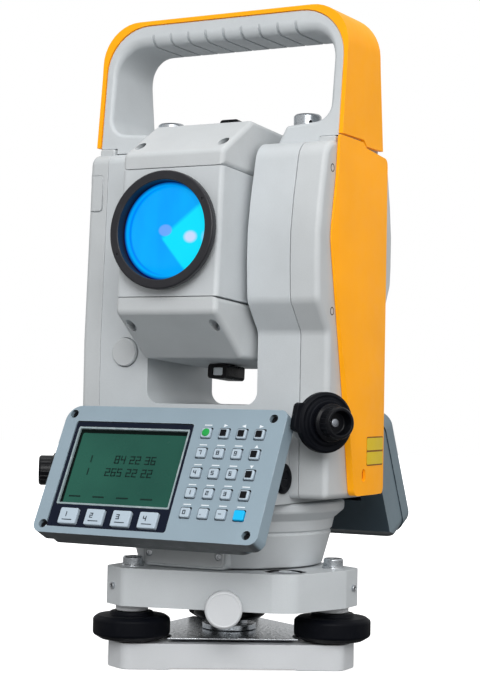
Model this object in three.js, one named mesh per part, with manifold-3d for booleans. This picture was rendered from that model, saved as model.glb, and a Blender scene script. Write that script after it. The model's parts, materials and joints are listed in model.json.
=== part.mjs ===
// An electronic theodolite with distance meter, standing on its three-screw tribrach.
// Millimetres, +Z up. The origin is the middle of the tribrach's underside, on the vertical axis.
// -Y is the objective side, and the trunnion (tilting) axis runs along X.
import * as THREE from 'three';
import { mergeVertices } from 'three/addons/utils/BufferGeometryUtils.js';
import Module from 'manifold-3d';

// ---------- driving dimensions ----------
const GAP = 0.3; // clearance between neighbouring pieces

// tribrach, in its own frame with the lock knob on -Y
const TRIBRACH_YAW = THREE.MathUtils.degToRad(32);
const SCREW_CIRCLE = 58.8; // radius of the circle through the three foot screws
const BASE_LOBE = { margin: 12, end: 9.5, radius: 6 }; // blunt corner round each foot screw
const BODY_LOBE = { margin: 12.6, end: 11, radius: 5.5 };
const SPRING_LOBE = { margin: 9.2, end: 8.6, radius: 4 };
const PLATE_TOP = 12.9;
const BODY_BOTTOM = 31.5;
const BODY_TOP = 50.4;
const WHEEL_RADIUS = 19.5;
const SPINDLE_RADIUS = 5;
const LEVEL_PLACE = [24.7, -50];
const KNOB_PLACE = [-6.4, 33.1]; // across and up
const NOSE = [[13, -63.5, 8], [26, -66.5, 7]]; // blunt front corner that carries the circular level

// vertical axis
const AXIS_BORE = 10;
const NECK_RADIUS = 16;

// alidade
const RIM_RADIUS = 59.2;
const RIM_TOP = 84;
const DECK_TOP = 132.5;
const ARM_INNER = 32.3; // half the space between the standards
const ARM_FRONT = 34; // half depth of the standards
const ARM_BOTTOM = 87;
const ARM_TOP = 264.2;
const BULGE_FRONT = 48; // depth of the right-hand standard beside the trunnion
const BULGE_REAR = 43;
const RIGHT_SEAM = 56;
const LEFT_SEAM = -61.5;
const SIDE = 71.6; // distance of the right cover's face from the middle
const LEFT_SIDE = 73.3; // and of the left cover's, which takes the battery
const COVER_TOP = 267.2;
const WALL = 3;

// telescope
const TRUNNION = 213; // height of the tilting axis
const PITCH = THREE.MathUtils.degToRad(3.5);
const TUBE_HALF = 29; // half width of the telescope housing
const TUBE_FRONT = 69;
const TUBE_REAR = 50;
const SHELL_SPLIT = 32; // half height of the middle section
const JOURNAL = 9.7;
const RING_FRONT = 77; // distance of the objective ring's rim from the trunnion axis
const SWEEP = 84; // radius that the objective ring sweeps when the telescope transits, with clearance

// handle
const HANDLE_TOP = 336;
const HANDLE_HALF = 72.8;
const HANDLE_RADIUS = 21.5;
const SKIN = 2.2; // thickness of the orange outer band, which grows at the corners
const SEAM_RADIUS = 25; // corner radius of the line between the band and the grip
const OPENING = { half: 64.8, top: 322.4, radius: 15 };
const HANDLE_SCREW = 41; // distance of each handle screw from the vertical axis

// display units
const FACE_CENTRE = [72, 98.6]; // distance from the vertical axis, and height
const FACE_TILT = THREE.MathUtils.degToRad(27);
const FACE_LEFT = -65.3;
const FACE_RIGHT = 61.5;
const FACE_BOTTOM = -34.4;
const FACE_TOP = 36;
const FACE_DEPTH = 8.5; // depth of the front half of the housing
const UNIT_DEPTH = 17; // depth where the unit meets the yoke's neck
const DEEP_SIDE_DEPTH = 26; // depth beside the neck, on the screen's side
const BACK_LEFT = { front: -62, rear: FACE_LEFT + 0.6 }; // the front unit clears the azimuth clamp
const KEY_COLUMNS = [19.7, 29.5, 39.3, 49.1];
const KEY_ROWS = [22.4, 11.7, 1, -9.6, -20];
const SOFT_KEYS = [-45.7, -30.3, -14.9, 0.5];
const SOFT_KEY_ROW = -25.2;
const LCD = { left: -54.2, right: 9.4, bottom: -17.2, top: 22.8 };
const BEZEL = { left: -57.6, right: 11.2, bottom: -30.6, top: 27 };

// side knobs: friction clamp ring and tangent screw on one axis
const KNOB_ANGLE = THREE.MathUtils.degToRad(33.5); // lean of the knob axis from X toward -Y
const KNOB_CENTRE = [74.6, 43];
const ELEVATION_KNOB_HEIGHT = 125;
const AZIMUTH_KNOB_HEIGHT = 96.4;
const CLAMP_RADIUS = 14.8;
// both levers point away from the knobs toward the display side, and swing upward
const ELEVATION_LEVER = THREE.MathUtils.degToRad(170);
const AZIMUTH_LEVER = THREE.MathUtils.degToRad(115);

// ---------- finishes ----------
function finish(color, roughness, metalness = 0) {
  return new THREE.MeshStandardMaterial({ color, roughness, metalness });
}
const GREY = finish(0xc8cdd0, 0.55);
const PALE = finish(0xd2d5d8, 0.5);
const ORANGE = finish(0xfaac20, 0.45);
const PANEL = finish(0x95a6b1, 0.5);
const BLACK = finish(0x15171c, 0.4);
const RUBBER = finish(0x1b1d22, 0.8);
const CHROME = finish(0xd9dde2, 0.2, 1);
const STEEL = finish(0x8f949b, 0.35, 1);
const BRASS = finish(0xb98a4a, 0.35, 1);
const GLASS = finish(0x009ffb, 0.08);
const SCREEN = finish(0x3f7162, 0.3);
const KEYCAP = finish(0xb9c2cc, 0.6);
const GREEN_KEY = finish(0x2a8f5a, 0.6);
const CYAN_KEY = finish(0x1db5e8, 0.6);

// ---------- solids ----------
const wasm = await Module();
wasm.setup();

function solid(geometry) {
  const bare = geometry.clone();
  bare.deleteAttribute('normal');
  bare.deleteAttribute('uv');
  const merged = mergeVertices(bare, 1e-4);
  const corners = merged.index.array;
  const triangles = [];
  for (let i = 0; i < corners.length; i += 3) {
    const [a, b, c] = corners.slice(i, i + 3);
    if (a !== b && b !== c && c !== a) triangles.push(a, b, c);
  }
  return new wasm.Manifold(new wasm.Mesh({
    numProp: 3,
    vertProperties: merged.attributes.position.array,
    triVerts: new Uint32Array(triangles),
  }));
}

function piece(name, body, material) {
  const { vertProperties, triVerts } = body.getMesh();
  const geometry = new THREE.BufferGeometry();
  geometry.setAttribute('position', new THREE.BufferAttribute(vertProperties, 3));
  geometry.setIndex(new THREE.BufferAttribute(triVerts, 1));
  const mesh = new THREE.Mesh(geometry, material);
  mesh.name = name;
  return mesh;
}

const joined = (...solids) => solids.reduce((sum, next) => sum.add(next));
const cut = (body, ...tools) => tools.reduce((rest, tool) => rest.subtract(tool), body);
const common = (...solids) => solids.reduce((rest, next) => rest.intersect(next));

// A closed outline, counter-clockwise, from corners [x, y, radius]; each corner is rounded by an arc.
function outline(corners) {
  const shape = new THREE.Shape();
  corners.forEach(([x, y, radius = 0], i) => {
    const corner = new THREE.Vector2(x, y);
    if (radius === 0) {
      if (i === 0) shape.moveTo(x, y);
      else shape.lineTo(x, y);
      return;
    }
    const toward = ([px, py]) => new THREE.Vector2(px, py).sub(corner).normalize();
    const before = toward(corners.at(i - 1));
    const after = toward(corners[(i + 1) % corners.length]);
    const half = Math.acos(before.dot(after)) / 2;
    const reach = radius / Math.tan(half);
    const middle = before.clone().add(after).normalize();
    const centre = corner.clone().addScaledVector(middle, radius / Math.sin(half));
    const entry = corner.clone().addScaledVector(before, reach);
    const exit = corner.clone().addScaledVector(after, reach);
    if (i > 0) shape.lineTo(entry.x, entry.y);
    const turnsRight = before.cross(after) > 0;
    shape.absarc(centre.x, centre.y, radius, entry.sub(centre).angle(), exit.sub(centre).angle(), turnsRight);
  });
  return shape;
}

const box = (left, bottom, right, top, radius = 0) => outline([
  [left, bottom, radius], [right, bottom, radius], [right, top, radius], [left, top, radius],
]);

// A closed outline from the corners of its +side and of its -side, both from bottom to top.
const twoSided = (plusSide, minusSide) => [
  ...plusSide,
  ...minusSide.toReversed().map(([x, y, radius = 0]) => [-x, y, radius]),
];
const mirrored = (corners) => twoSided(corners, corners);

function extruded(shape, depth, bevel, curveSegments) {
  return new THREE.ExtrudeGeometry(shape, {
    depth: depth - 2 * bevel,
    curveSegments,
    bevelEnabled: bevel > 0,
    bevelThickness: bevel,
    bevelSize: bevel,
    bevelOffset: -bevel,
    bevelSegments: 1,
  }).translate(0, 0, bevel);
}

// An (x, y) outline standing from z = low to z = high.
function alongZ(shape, low, high, bevel = 0, curveSegments = 2) {
  return solid(extruded(shape, high - low, bevel, curveSegments).translate(0, 0, low));
}

// An (x, z) outline reaching from y = low to y = high.
function alongY(shape, low, high, bevel = 0, curveSegments = 2) {
  return solid(extruded(shape, high - low, bevel, curveSegments).rotateX(Math.PI / 2).translate(0, high, 0));
}

// Turns a geometry drawn in (x, y) and raised along z into (y, z) raised along x.
function facingX(geometry) {
  return geometry.applyMatrix4(new THREE.Matrix4().makeBasis(
    new THREE.Vector3(0, 1, 0), new THREE.Vector3(0, 0, 1), new THREE.Vector3(1, 0, 0),
  ));
}

// A (y, z) outline reaching from x = low to x = high.
function alongX(shape, low, high, bevel = 0, curveSegments = 2) {
  return solid(facingX(extruded(shape, high - low, bevel, curveSegments)).translate(low, 0, 0));
}

// A turned piece about Z; the profile [radius, height] runs upward on its outer side.
const lathe = (profile, segments = 24) => new THREE.LatheGeometry(
  profile.map(([radius, height]) => new THREE.Vector2(radius, height)), segments,
).rotateX(Math.PI / 2);

const turned = (profile, segments) => solid(lathe(profile, segments));
const turnedAlongX = (profile, segments) => solid(lathe(profile, segments).rotateY(Math.PI / 2));
const turnedForward = (profile, segments) => solid(lathe(profile, segments).rotateX(Math.PI / 2));

const rod = (radius, low, high) => [[0, low], [radius, low], [radius, high], [0, high]];
const tube = (inner, outer, low, high) => [
  [inner, low], [outer, low], [outer, high], [inner, high], [inner, low],
];

// A turned piece about Z moved to a place in the plan.
const turnedAt = ([x, y], profile, segments) => solid(lathe(profile, segments).translate(x, y, 0));

const group = (...children) => new THREE.Group().add(...children);

// ---------- tribrach ----------
const screwAngles = { front_left: 210, front_right: 330, rear: 90 };
const screwPlaces = Object.entries(screwAngles).map(([name, degrees]) => {
  const angle = THREE.MathUtils.degToRad(degrees);
  return { name, place: [SCREW_CIRCLE * Math.cos(angle), SCREW_CIRCLE * Math.sin(angle)] };
});

// The two corners of the blunt end that a plate has round one foot screw.
function lobeCorners(degrees, { margin, end, radius }) {
  const reach = SCREW_CIRCLE + end;
  const half = (SCREW_CIRCLE + 2 * margin - reach) * Math.tan(Math.PI / 6);
  const angle = THREE.MathUtils.degToRad(degrees);
  const middle = new THREE.Vector2(Math.cos(angle), Math.sin(angle)).multiplyScalar(reach);
  const across = new THREE.Vector2(-Math.sin(angle), Math.cos(angle)).multiplyScalar(half);
  return [
    [middle.x - across.x, middle.y - across.y, radius],
    [middle.x + across.x, middle.y + across.y, radius],
  ];
}

// Triangle with a blunt end round each foot screw, and further corners along its front edge.
const bluntTriangle = (lobe, frontCorners = []) => outline([
  ...lobeCorners(screwAngles.rear, lobe),
  ...lobeCorners(screwAngles.front_left, lobe),
  ...frontCorners,
  ...lobeCorners(screwAngles.front_right, lobe),
]);

const atEveryScrew = (profile, segments) => screwPlaces.map(
  ({ place }) => turnedAt(place, profile, segments),
);

function basePlate() {
  const plate = alongZ(bluntTriangle(BASE_LOBE), 0, PLATE_TOP, 1.6, 3);
  const padRelief = turned(rod(52, -1, 0.8), 36);
  const tripodHole = turned(rod(9.6, -1, PLATE_TOP + 1));
  return cut(plate, padRelief, tripodHole);
}

function springPlate() {
  const plate = alongZ(bluntTriangle(SPRING_LOBE), 14.7, 15.5);
  const wheelClearances = atEveryScrew(rod(WHEEL_RADIUS + 0.8, 14, 16), 24);
  return cut(plate, ...wheelClearances, turned(rod(12, 14, 16), 20));
}

const bushingProfile = [
  [7.2, 1.2], [9.2, 1.2], [9.2, 15.8], [14, 15.8], [14, 17.2], [8.9, 17.2], [8.9, 21], [7.2, 21], [7.2, 1.2],
];

const bearingProfile = [
  [AXIS_BORE, 21.5], [17, 21.5], [19, 23.5], [19, 27.5], [26, 28.2], [26, BODY_BOTTOM - GAP],
  [NECK_RADIUS, BODY_BOTTOM - GAP], [NECK_RADIUS, 54.7], [14, 54.7], [14, 59.5], [AXIS_BORE, 59.5],
  [AXIS_BORE, 21.5],
];

function tribrachBody() {
  const deck = alongZ(bluntTriangle(BODY_LOBE, NOSE), BODY_BOTTOM, BODY_TOP, 2, 3);
  const knobBoss = alongY(box(KNOB_PLACE[0] - 5, 28.4, KNOB_PLACE[0] + 5, 40, 3), -57, -28);
  const collars = atEveryScrew(rod(8.15, 27.4, BODY_BOTTOM + 3), 16);
  const spindleBores = atEveryScrew(rod(SPINDLE_RADIUS + 0.4, 27, 48), 16);
  const levelSeat = turnedAt(LEVEL_PLACE, rod(10.5, 44, BODY_TOP + 1), 24);
  const neckBore = turned(rod(NECK_RADIUS + GAP, 27, BODY_TOP + 1));
  const knobBore = solid(
    lathe(rod(3.3, 49, 73), 16).rotateX(Math.PI / 2).translate(KNOB_PLACE[0], 0, KNOB_PLACE[1]),
  );
  const capProfile = [[0, BODY_TOP - 1], [4.8, BODY_TOP - 1], [4.8, 54.8], [4.2, 55.6], [0, 55.6]];
  const caps = atEveryScrew(capProfile, 12);
  const casting = joined(deck, knobBoss, ...collars, ...caps);
  return cut(casting, ...spindleBores, levelSeat, neckBore, knobBore);
}

const footScrewProfile = [
  [0, 13.2], [4, 13.2], [4, 14.2], [15.5, 14.2], [WHEEL_RADIUS, 17.6], [WHEEL_RADIUS, 24.2], [17.5, 26],
  [SPINDLE_RADIUS, 27], [SPINDLE_RADIUS, 47.4], [0, 47.4],
];

const lockKnobProfile = [
  [0, 50], [3, 50], [3, 61.4], [8.4, 61.4], [9.2, 62.2], [9.2, 66.8], [8.4, 67.6], [0, 67.6],
];

function footScrew({ name, place }) {
  const screw = piece(`foot_screw_${name}`, turned(footScrewProfile), RUBBER);
  screw.position.set(...place, 0);
  return screw;
}

function tribrach() {
  const levelProfile = [[0, 44.3], [10.2, 44.3], [10.2, 50], [9.4, 50.6], [0, 50.6]];
  const lockKnob = piece('tribrach_lock_knob', turnedForward(lockKnobProfile, 20), PALE);
  lockKnob.position.set(KNOB_PLACE[0], 0, KNOB_PLACE[1]);
  const whole = group(
    piece('tribrach_base_plate', basePlate(), PALE),
    piece('clamping_ring', turned(tube(12, 34, 13.2, 14.4)), BLACK),
    piece('spring_plate', springPlate(), CHROME),
    piece('tripod_screw_bush', turned(bushingProfile), CHROME),
    piece('axis_bearing', turned(bearingProfile), BLACK),
    piece('tribrach_body', tribrachBody(), GREY),
    piece('circular_level', turnedAt(LEVEL_PLACE, levelProfile, 20), BLACK),
    piece('horizontal_circle', turned(tube(14.3, 38, 55, 57), 32), GLASS),
    lockKnob,
    ...screwPlaces.map(footScrew),
  );
  whole.rotation.z = TRIBRACH_YAW;
  return whole;
}

// ---------- alidade base and vertical axis ----------
function alidadeBase() {
  const bowl = turned([
    [0, 66], [41, 66], [41, 51.2], [48, 51.2], [52.5, 67.6], [51.7, 68.4], [51.7, 69], [52.7, 69.6],
    [54, 75], [58.6, 79], [RIM_RADIUS, 80], [RIM_RADIUS, RIM_TOP - 0.8], [58.4, RIM_TOP], [0, RIM_TOP],
  ], 36);
  const plateWidth = 23.5;
  const plateFront = -48.3;
  const plate = alongY(box(-plateWidth, 52, plateWidth, 66, 3), plateFront, -42.5);
  const flat = alongY(box(-plateWidth, 51, plateWidth, 63), -60, plateFront);
  return joined(cut(bowl, flat), plate);
}

const spindleProfile = [
  [0, 24], [AXIS_BORE - GAP, 24], [AXIS_BORE - GAP, 62], [24, 62], [24, 66 - GAP], [0, 66 - GAP],
];

// ---------- standards ----------
const leftArmSide = outline(mirrored([
  [ARM_FRONT, ARM_BOTTOM, 3], [ARM_FRONT, 165], [ARM_FRONT - 4.5, ARM_TOP, 6],
]));
const rightArmFront = [
  [ARM_FRONT, ARM_BOTTOM, 3], [ARM_FRONT, 169, 6], [BULGE_FRONT - 2, 184, 8], [BULGE_FRONT, 218, 120],
  [38, ARM_TOP, 12],
];
const rightArmRear = [
  [ARM_FRONT, ARM_BOTTOM, 3], [ARM_FRONT, 182, 6], [BULGE_REAR - 2, 196, 8], [BULGE_REAR, 222, 120],
  [34.5, ARM_TOP, 12],
];
const rightArmSide = outline(twoSided(rightArmRear, rightArmFront));

// One standard: its side profile, rounded in plan and at its top corners.
function standard(side, inner, outer, top, innerRadius, outerRadius) {
  const [low, high] = [Math.min(inner, outer), Math.max(inner, outer)];
  const [lowRadius, highRadius] = inner < outer ? [innerRadius, outerRadius] : [outerRadius, innerRadius];
  const front = outline([[low, 80], [high, 80], [high, top, highRadius], [low, top, lowRadius]]);
  const lowPlan = Math.min(lowRadius, 3.5);
  const highPlan = Math.min(highRadius, 3.5);
  const plan = outline([
    [low, -60, lowPlan], [high, -60, highPlan], [high, 60, highPlan], [low, 60, lowPlan],
  ]);
  return common(alongX(side, low, high), alongY(front, -60, 60), alongZ(plan, 80, 280));
}

// The front and rear necks hold the display units.
function neck() {
  const back = (height) => 59.6 - (height - RIM_TOP) * Math.tan(FACE_TILT);
  const neckTop = 116;
  return alongX(outline(mirrored([[back(RIM_TOP + GAP), RIM_TOP + GAP], [back(neckTop), neckTop]])), -51, 51);
}

function yoke() {
  const arms = [
    standard(leftArmSide, -ARM_INNER, LEFT_SEAM, ARM_TOP, 6, 0),
    standard(rightArmSide, ARM_INNER, RIGHT_SEAM, ARM_TOP, 6, 0),
  ];
  const deck = alongY(box(-50, RIM_TOP + GAP, 50, DECK_TOP), -ARM_FRONT + 1, ARM_FRONT - 1);
  const journalBore = solid(
    lathe(rod(JOURNAL + GAP, LEFT_SEAM - 1, RIGHT_SEAM + 1)).rotateY(Math.PI / 2).translate(0, 0, TRUNNION),
  );
  const throat = alongY(
    outline([
      [-ARM_INNER, DECK_TOP, 6], [ARM_INNER, DECK_TOP, 6], [ARM_INNER, 300], [-ARM_INNER, 300],
    ]), -60, 60,
  );
  const ringSweep = turnedAlongX(rod(SWEEP, -26, 26), 48).translate(0, 0, TRUNNION);
  const screwHoles = [-1, 1].map((end) => turnedAt([end * HANDLE_SCREW, 0], rod(3.4, 250, 270), 16));
  const solidYoke = joined(...arms, deck, neck());
  const plugSeat = solid(lathe(rod(7.7, 30, 40), 24).rotateX(Math.PI / 2).translate(-46, 0, 158.8));
  return cut(solidYoke, throat, ringSweep, journalBore, plugSeat, ...screwHoles);
}

function rightCover() {
  const shell = standard(rightArmSide, RIGHT_SEAM + GAP, SIDE, ARM_TOP, 0, 6);
  const raisedTop = alongY(box(60.5, 255, SIDE - 2, COVER_TOP, 1.5), -26, 26);
  const inside = outline(twoSided([
    [ARM_FRONT - WALL, ARM_BOTTOM + WALL], [ARM_FRONT - WALL, 185], [BULGE_REAR - 2 - WALL, 198],
    [BULGE_REAR - WALL, 222], [34.5 - WALL, ARM_TOP - WALL],
  ], [
    [ARM_FRONT - WALL, ARM_BOTTOM + WALL], [ARM_FRONT - WALL, 172], [BULGE_FRONT - 2 - WALL, 187],
    [BULGE_FRONT - WALL, 218], [38 - WALL, ARM_TOP - WALL],
  ]));
  const cavity = alongX(inside, RIGHT_SEAM - 1, SIDE - WALL);
  const yokeSide = alongX(box(-60, 80, 60, 280), 0, RIGHT_SEAM + GAP);
  return cut(joined(shell, raisedTop, knobBoss(1, ELEVATION_KNOB_HEIGHT)), cavity, yokeSide);
}

function leftCover() {
  const shell = standard(leftArmSide, LEFT_SEAM - GAP, -LEFT_SIDE, ARM_TOP, 0, 6);
  const raisedTop = alongY(box(-SIDE + 2, 255, LEFT_SEAM - 1, COVER_TOP, 1.5), -26, 26);
  const inside = outline(mirrored([
    [ARM_FRONT - WALL, ARM_BOTTOM + WALL], [ARM_FRONT - WALL, 165], [26.5, ARM_TOP - WALL],
  ]));
  const cavity = alongX(inside, -LEFT_SIDE + WALL, LEFT_SEAM + 1);
  const batteryWindow = alongX(BATTERY_WINDOW, -80, -60);
  const yokeSide = alongX(box(-60, 80, 60, 280), LEFT_SEAM - GAP, 0);
  return cut(joined(shell, raisedTop, knobBoss(-1, AZIMUTH_KNOB_HEIGHT)), cavity, batteryWindow, yokeSide);
}

// ---------- side knobs ----------
const knobTurn = (side) => (side > 0 ? -KNOB_ANGLE : Math.PI + KNOB_ANGLE);
const knobPlace = (side, height) => [side * KNOB_CENTRE[0], -KNOB_CENTRE[1], height];

// Round boss on a cover that carries the knobs.
function knobBoss(side, height) {
  const boss = lathe(rod(9.6, -19, -4.1), 28).rotateY(Math.PI / 2).rotateZ(knobTurn(side));
  return solid(boss.translate(...knobPlace(side, height)));
}

function knobPair(side, height, leverAngle, clampName, tangentName) {
  const ring = turnedAlongX([
    [4.4, -3.8], [13.4, -3.8], [CLAMP_RADIUS, -2.6], [CLAMP_RADIUS, 1.6], [13.6, 2.6], [11, 2.6],
    [11, 4], [4.4, 4], [4.4, -3.8],
  ]);
  const leverShape = outline([[9, -8, 1], [17, -6.6, 2.4], [17, 6.6, 2.4], [9, 8, 1]]);
  const lever = solid(facingX(extruded(leverShape, 4.4, 0, 2)).rotateX(leverAngle).translate(-3.4, 0, 0));
  const knob = turnedAlongX([
    [0, -3.8], [4, -3.8], [4, 4.4], [9.2, 4.4], [9.2, 7], [7.8, 8], [7.8, 14], [7, 15], [5.6, 15], [5.2, 9],
    [0, 9],
  ], 20);
  const clamp = piece(clampName, joined(ring, cut(lever, turnedAlongX(rod(10, -7, 5)))), BLACK);
  const pair = group(clamp, piece(tangentName, knob, BLACK));
  pair.position.set(...knobPlace(side, height));
  pair.rotation.z = knobTurn(side);
  return pair;
}

// ---------- side panels and battery ----------
const rightPanelOutline = outline([
  [29.5, ARM_BOTTOM + 1, 4], [29.5, 262, 3], [4, 264.4, 1], [0, 267, 1], [-28, 267.4, 2], [-30, 246],
  [-35.5, 216, 30], [-26, 171], [-18.5, 136], [-10, ARM_BOTTOM + 1, 4],
]);

const PANEL_FACE = 75.8; // distance of the right panel's outer face from the middle
const LEFT_PANEL_FACE = 76.6;
const CROWN_RADIUS = 190;
const BATTERY_WINDOW = box(-20.6, 127.4, 20.6, 236.6, 4);

const crown = (face) => turned(rod(CROWN_RADIUS, 80, 280), 120).translate(face - CROWN_RADIUS, 0, 0);

// Thin orange panel: crowned in plan, and sloping inward above its crease.
function rightPanel() {
  const plate = alongX(rightPanelOutline, SIDE + GAP, PANEL_FACE);
  const slope = outline([[60, 80], [PANEL_FACE + 1, 80], [PANEL_FACE + 1, 200], [72.9, 268], [60, 268]]);
  return common(plate, crown(PANEL_FACE), alongY(slope, -40, 40));
}

// Grey surround of the battery.
function leftPanel() {
  const plate = alongX(box(-26, ARM_BOTTOM + 5, 26, 258, 5), -LEFT_PANEL_FACE, -LEFT_SIDE - GAP);
  const rounded = common(plate, crown(LEFT_PANEL_FACE).mirror([1, 0, 0]));
  return cut(rounded, alongX(BATTERY_WINDOW, -80, -60));
}

function battery() {
  const pack = alongX(box(-20, 128, 20, 236, 3.6), -LEFT_SIDE - 4, LEFT_SEAM - 1, 0.8);
  const latchSeat = alongX(box(-8.3, 214.6, 8.3, 233.3, 2), -LEFT_SIDE - 6, -LEFT_SIDE - 1.2);
  return cut(pack, latchSeat);
}

// ---------- handle ----------
// An arch seen from the front, between an outer and an inner round-cornered line.
function arch(outer, inner, legBottom) {
  return outline([
    [inner.half, legBottom], [outer.half, legBottom], [outer.half, outer.top, outer.radius],
    [-outer.half, outer.top, outer.radius], [-outer.half, legBottom], [-inner.half, legBottom],
    [-inner.half, inner.top, inner.radius], [inner.half, inner.top, inner.radius],
  ]);
}

// Side view of the handle: deeper at its feet than at the grip.
const handleDepth = (inset) => outline(mirrored([
  [25 - inset, 263], [20 - inset, 306, 40], [17.5 - inset, HANDLE_TOP + 1 - inset, 4],
]));

function handleGrip() {
  const step = SKIN + GAP;
  const outer = { half: HANDLE_HALF - step, top: HANDLE_TOP - step, radius: SEAM_RADIUS - GAP };
  const band = alongY(arch(outer, OPENING, COVER_TOP + GAP), -30, 30, 0, 3);
  const footCorners = [
    [36.5, 264.5], [60, 264.5], [60, 267.5], [66, 267.5], [66, 280], [64, 278, 4], [60, 273.2, 3],
    [40, 273.2, 3],
  ];
  const rightFoot = alongY(outline(footCorners), -30, 30);
  const leftFoot = rightFoot.mirror([1, 0, 0]);
  const grooves = [];
  const groovePitch = 10.6;
  for (let i = -4; i <= 4; i += 1) {
    const groove = lathe(rod(2.2, -30, 30), 10).rotateX(Math.PI / 2);
    grooves.push(solid(groove.translate(i * groovePitch, 0, OPENING.top - 1.2)));
  }
  const screwHoles = [-1, 1].map((end) => turnedAt([end * HANDLE_SCREW, 0], rod(3.4, 250, 280), 16));
  const whole = common(joined(band, leftFoot, rightFoot), alongX(handleDepth(0), -80, 80));
  return cut(whole, ...grooves, ...screwHoles);
}

function handleSkin() {
  const outer = { half: HANDLE_HALF, top: HANDLE_TOP, radius: HANDLE_RADIUS };
  const inner = { half: HANDLE_HALF - SKIN, top: HANDLE_TOP - SKIN, radius: SEAM_RADIUS };
  const band = alongY(arch(outer, inner, 265), -30, 30, 0, 3);
  const frontStep = alongY(box(-80, 260, 80, COVER_TOP + 2 * GAP), -30, 4.5);
  return cut(common(band, alongX(handleDepth(-0.4), -80, 80)), frontStep);
}

function handleScrew(side) {
  const profile = [
    [0, 256], [3, 256], [3, 273.6], [6.4, 273.6], [7.2, 274.6], [7.2, 282], [6.4, 283], [0, 283],
  ];
  const screw = piece(side < 0 ? 'handle_screw_left' : 'handle_screw_right', turned(profile, 20), CHROME);
  screw.position.set(side * HANDLE_SCREW, 0, 0);
  return screw;
}

// ---------- telescope, along its own -Y with the trunnion axis at its origin ----------
const shellProfile = [
  [-TUBE_FRONT, SHELL_SPLIT + GAP], [TUBE_REAR - 4, SHELL_SPLIT + GAP], [TUBE_REAR - 4, 42, 3], [26, 60, 5],
  [-40.5, 60, 3], [-TUBE_FRONT, 40, 4],
];
const shellInside = [
  [-TUBE_FRONT + WALL, SHELL_SPLIT - 1], [TUBE_REAR - 4 - WALL, SHELL_SPLIT - 1],
  [TUBE_REAR - 4 - WALL, 41], [25, 57], [-39.5, 57], [-TUBE_FRONT + WALL, 38.5],
];

function telescopeCover() {
  const outside = alongX(outline(shellProfile), -TUBE_HALF, TUBE_HALF);
  const corners = alongZ(box(-TUBE_HALF, -TUBE_FRONT, TUBE_HALF, TUBE_REAR, 2.4), 20, 80);
  const cavity = alongX(outline(shellInside), -TUBE_HALF + WALL, TUBE_HALF - WALL);
  const sightSlot = turned(rod(2.4, 55, 62), 12);
  return cut(common(outside, corners), cavity, sightSlot);
}

function telescopeBody() {
  const plan = box(-TUBE_HALF, -TUBE_FRONT, TUBE_HALF, TUBE_REAR - 4, 2.4);
  const block = alongZ(plan, -SHELL_SPLIT, SHELL_SPLIT);
  const rearCollar = turnedForward([
    [0, -61.6], [14.05, -61.6], [14.05, -TUBE_REAR], [20, -TUBE_REAR], [20, 0], [0, 0],
  ]);
  const objectiveBore = turnedForward(rod(26.4, 54, 80), 28);
  const lightCone = turnedForward([[0, -10], [15, -10], [15, 20], [23, 60], [0, 60]]);
  const tubeBore = turnedForward(rod(13, -64, 0));
  return cut(joined(block, rearCollar), objectiveBore, lightCone, tubeBore);
}

// Profiles along the line of sight: height is the distance in front of the trunnion axis.
const objectiveRingProfile = [
  [24.7, 55], [26, 55], [26, TUBE_FRONT + GAP], [27, TUBE_FRONT + GAP], [27, 73.2], [29.4, 73.2],
  [29.4, RING_FRONT - 0.6], [28.8, RING_FRONT], [24.7, RING_FRONT], [24.7, 55],
];
const lensProfile = [[0, 62], [24.3, 65], [24.3, 71.2], [14, 73], [0, 73.6]];
const focusRingProfile = tube(14.4, 22, -62, -TUBE_REAR - GAP);
const eyepieceProfile = [
  [4.5, -77], [10.4, -77], [11.4, -76], [11.4, -68], [13, -67], [13.6, -62.3], [12.2, -62.3], [12.2, -40],
  [8, -40], [4.5, -60], [4.5, -77],
];

function sight(name) {
  const foot = turned(rod(2.1, 56, 62), 12);
  const tubeBox = alongY(box(-5.5, 60.4, 5.5, 68, 1.5), -14, 6);
  const window = alongY(box(-3, 62.2, 3, 66.2), -30, 30);
  return piece(name, cut(joined(foot, tubeBox), window), BLACK);
}

function turnedOver(mesh) {
  mesh.rotation.y = Math.PI;
  return mesh;
}

const FLANGE_END = 31.4;
const flangeProfile = [
  [0, TUBE_HALF + GAP], [13, TUBE_HALF + GAP], [13, FLANGE_END], [JOURNAL, FLANGE_END],
];
const rightAxleProfile = [...flangeProfile, [JOURNAL, 57.6], [7, 57.6], [7, 62], [0, 62]];
const leftAxleProfile = [...flangeProfile, [JOURNAL, 54], [0, 54]];

function leftAxle() {
  const mesh = piece('trunnion_axle_left', turnedAlongX(leftAxleProfile, 24), STEEL);
  mesh.rotation.z = Math.PI;
  return mesh;
}

function telescope() {
  const whole = group(
    piece('telescope_body', telescopeBody(), GREY),
    piece('telescope_top_cover', telescopeCover(), GREY),
    turnedOver(piece('telescope_bottom_cover', telescopeCover(), GREY)),
    piece('objective_ring', turnedForward(objectiveRingProfile, 32), BLACK),
    piece('objective_lens', turnedForward(lensProfile, 28), GLASS),
    piece('focusing_lens_cell', turnedForward(tube(8.5, 12.4, -26, -14), 20), BRASS),
    piece('focusing_ring', turnedForward(focusRingProfile, 28), RUBBER),
    piece('eyepiece', turnedForward(eyepieceProfile, 20), BLACK),
    sight('collimator_sight_top'),
    turnedOver(sight('collimator_sight_bottom')),
    leftAxle(),
    piece('trunnion_axle_right', turnedAlongX(rightAxleProfile, 24), STEEL),
    piece('vertical_circle', turnedAlongX(tube(7.3, 30, 58, 60), 28), GLASS),
  );
  whole.position.z = TRUNNION;
  whole.rotation.x = -PITCH;
  return whole;
}

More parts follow.
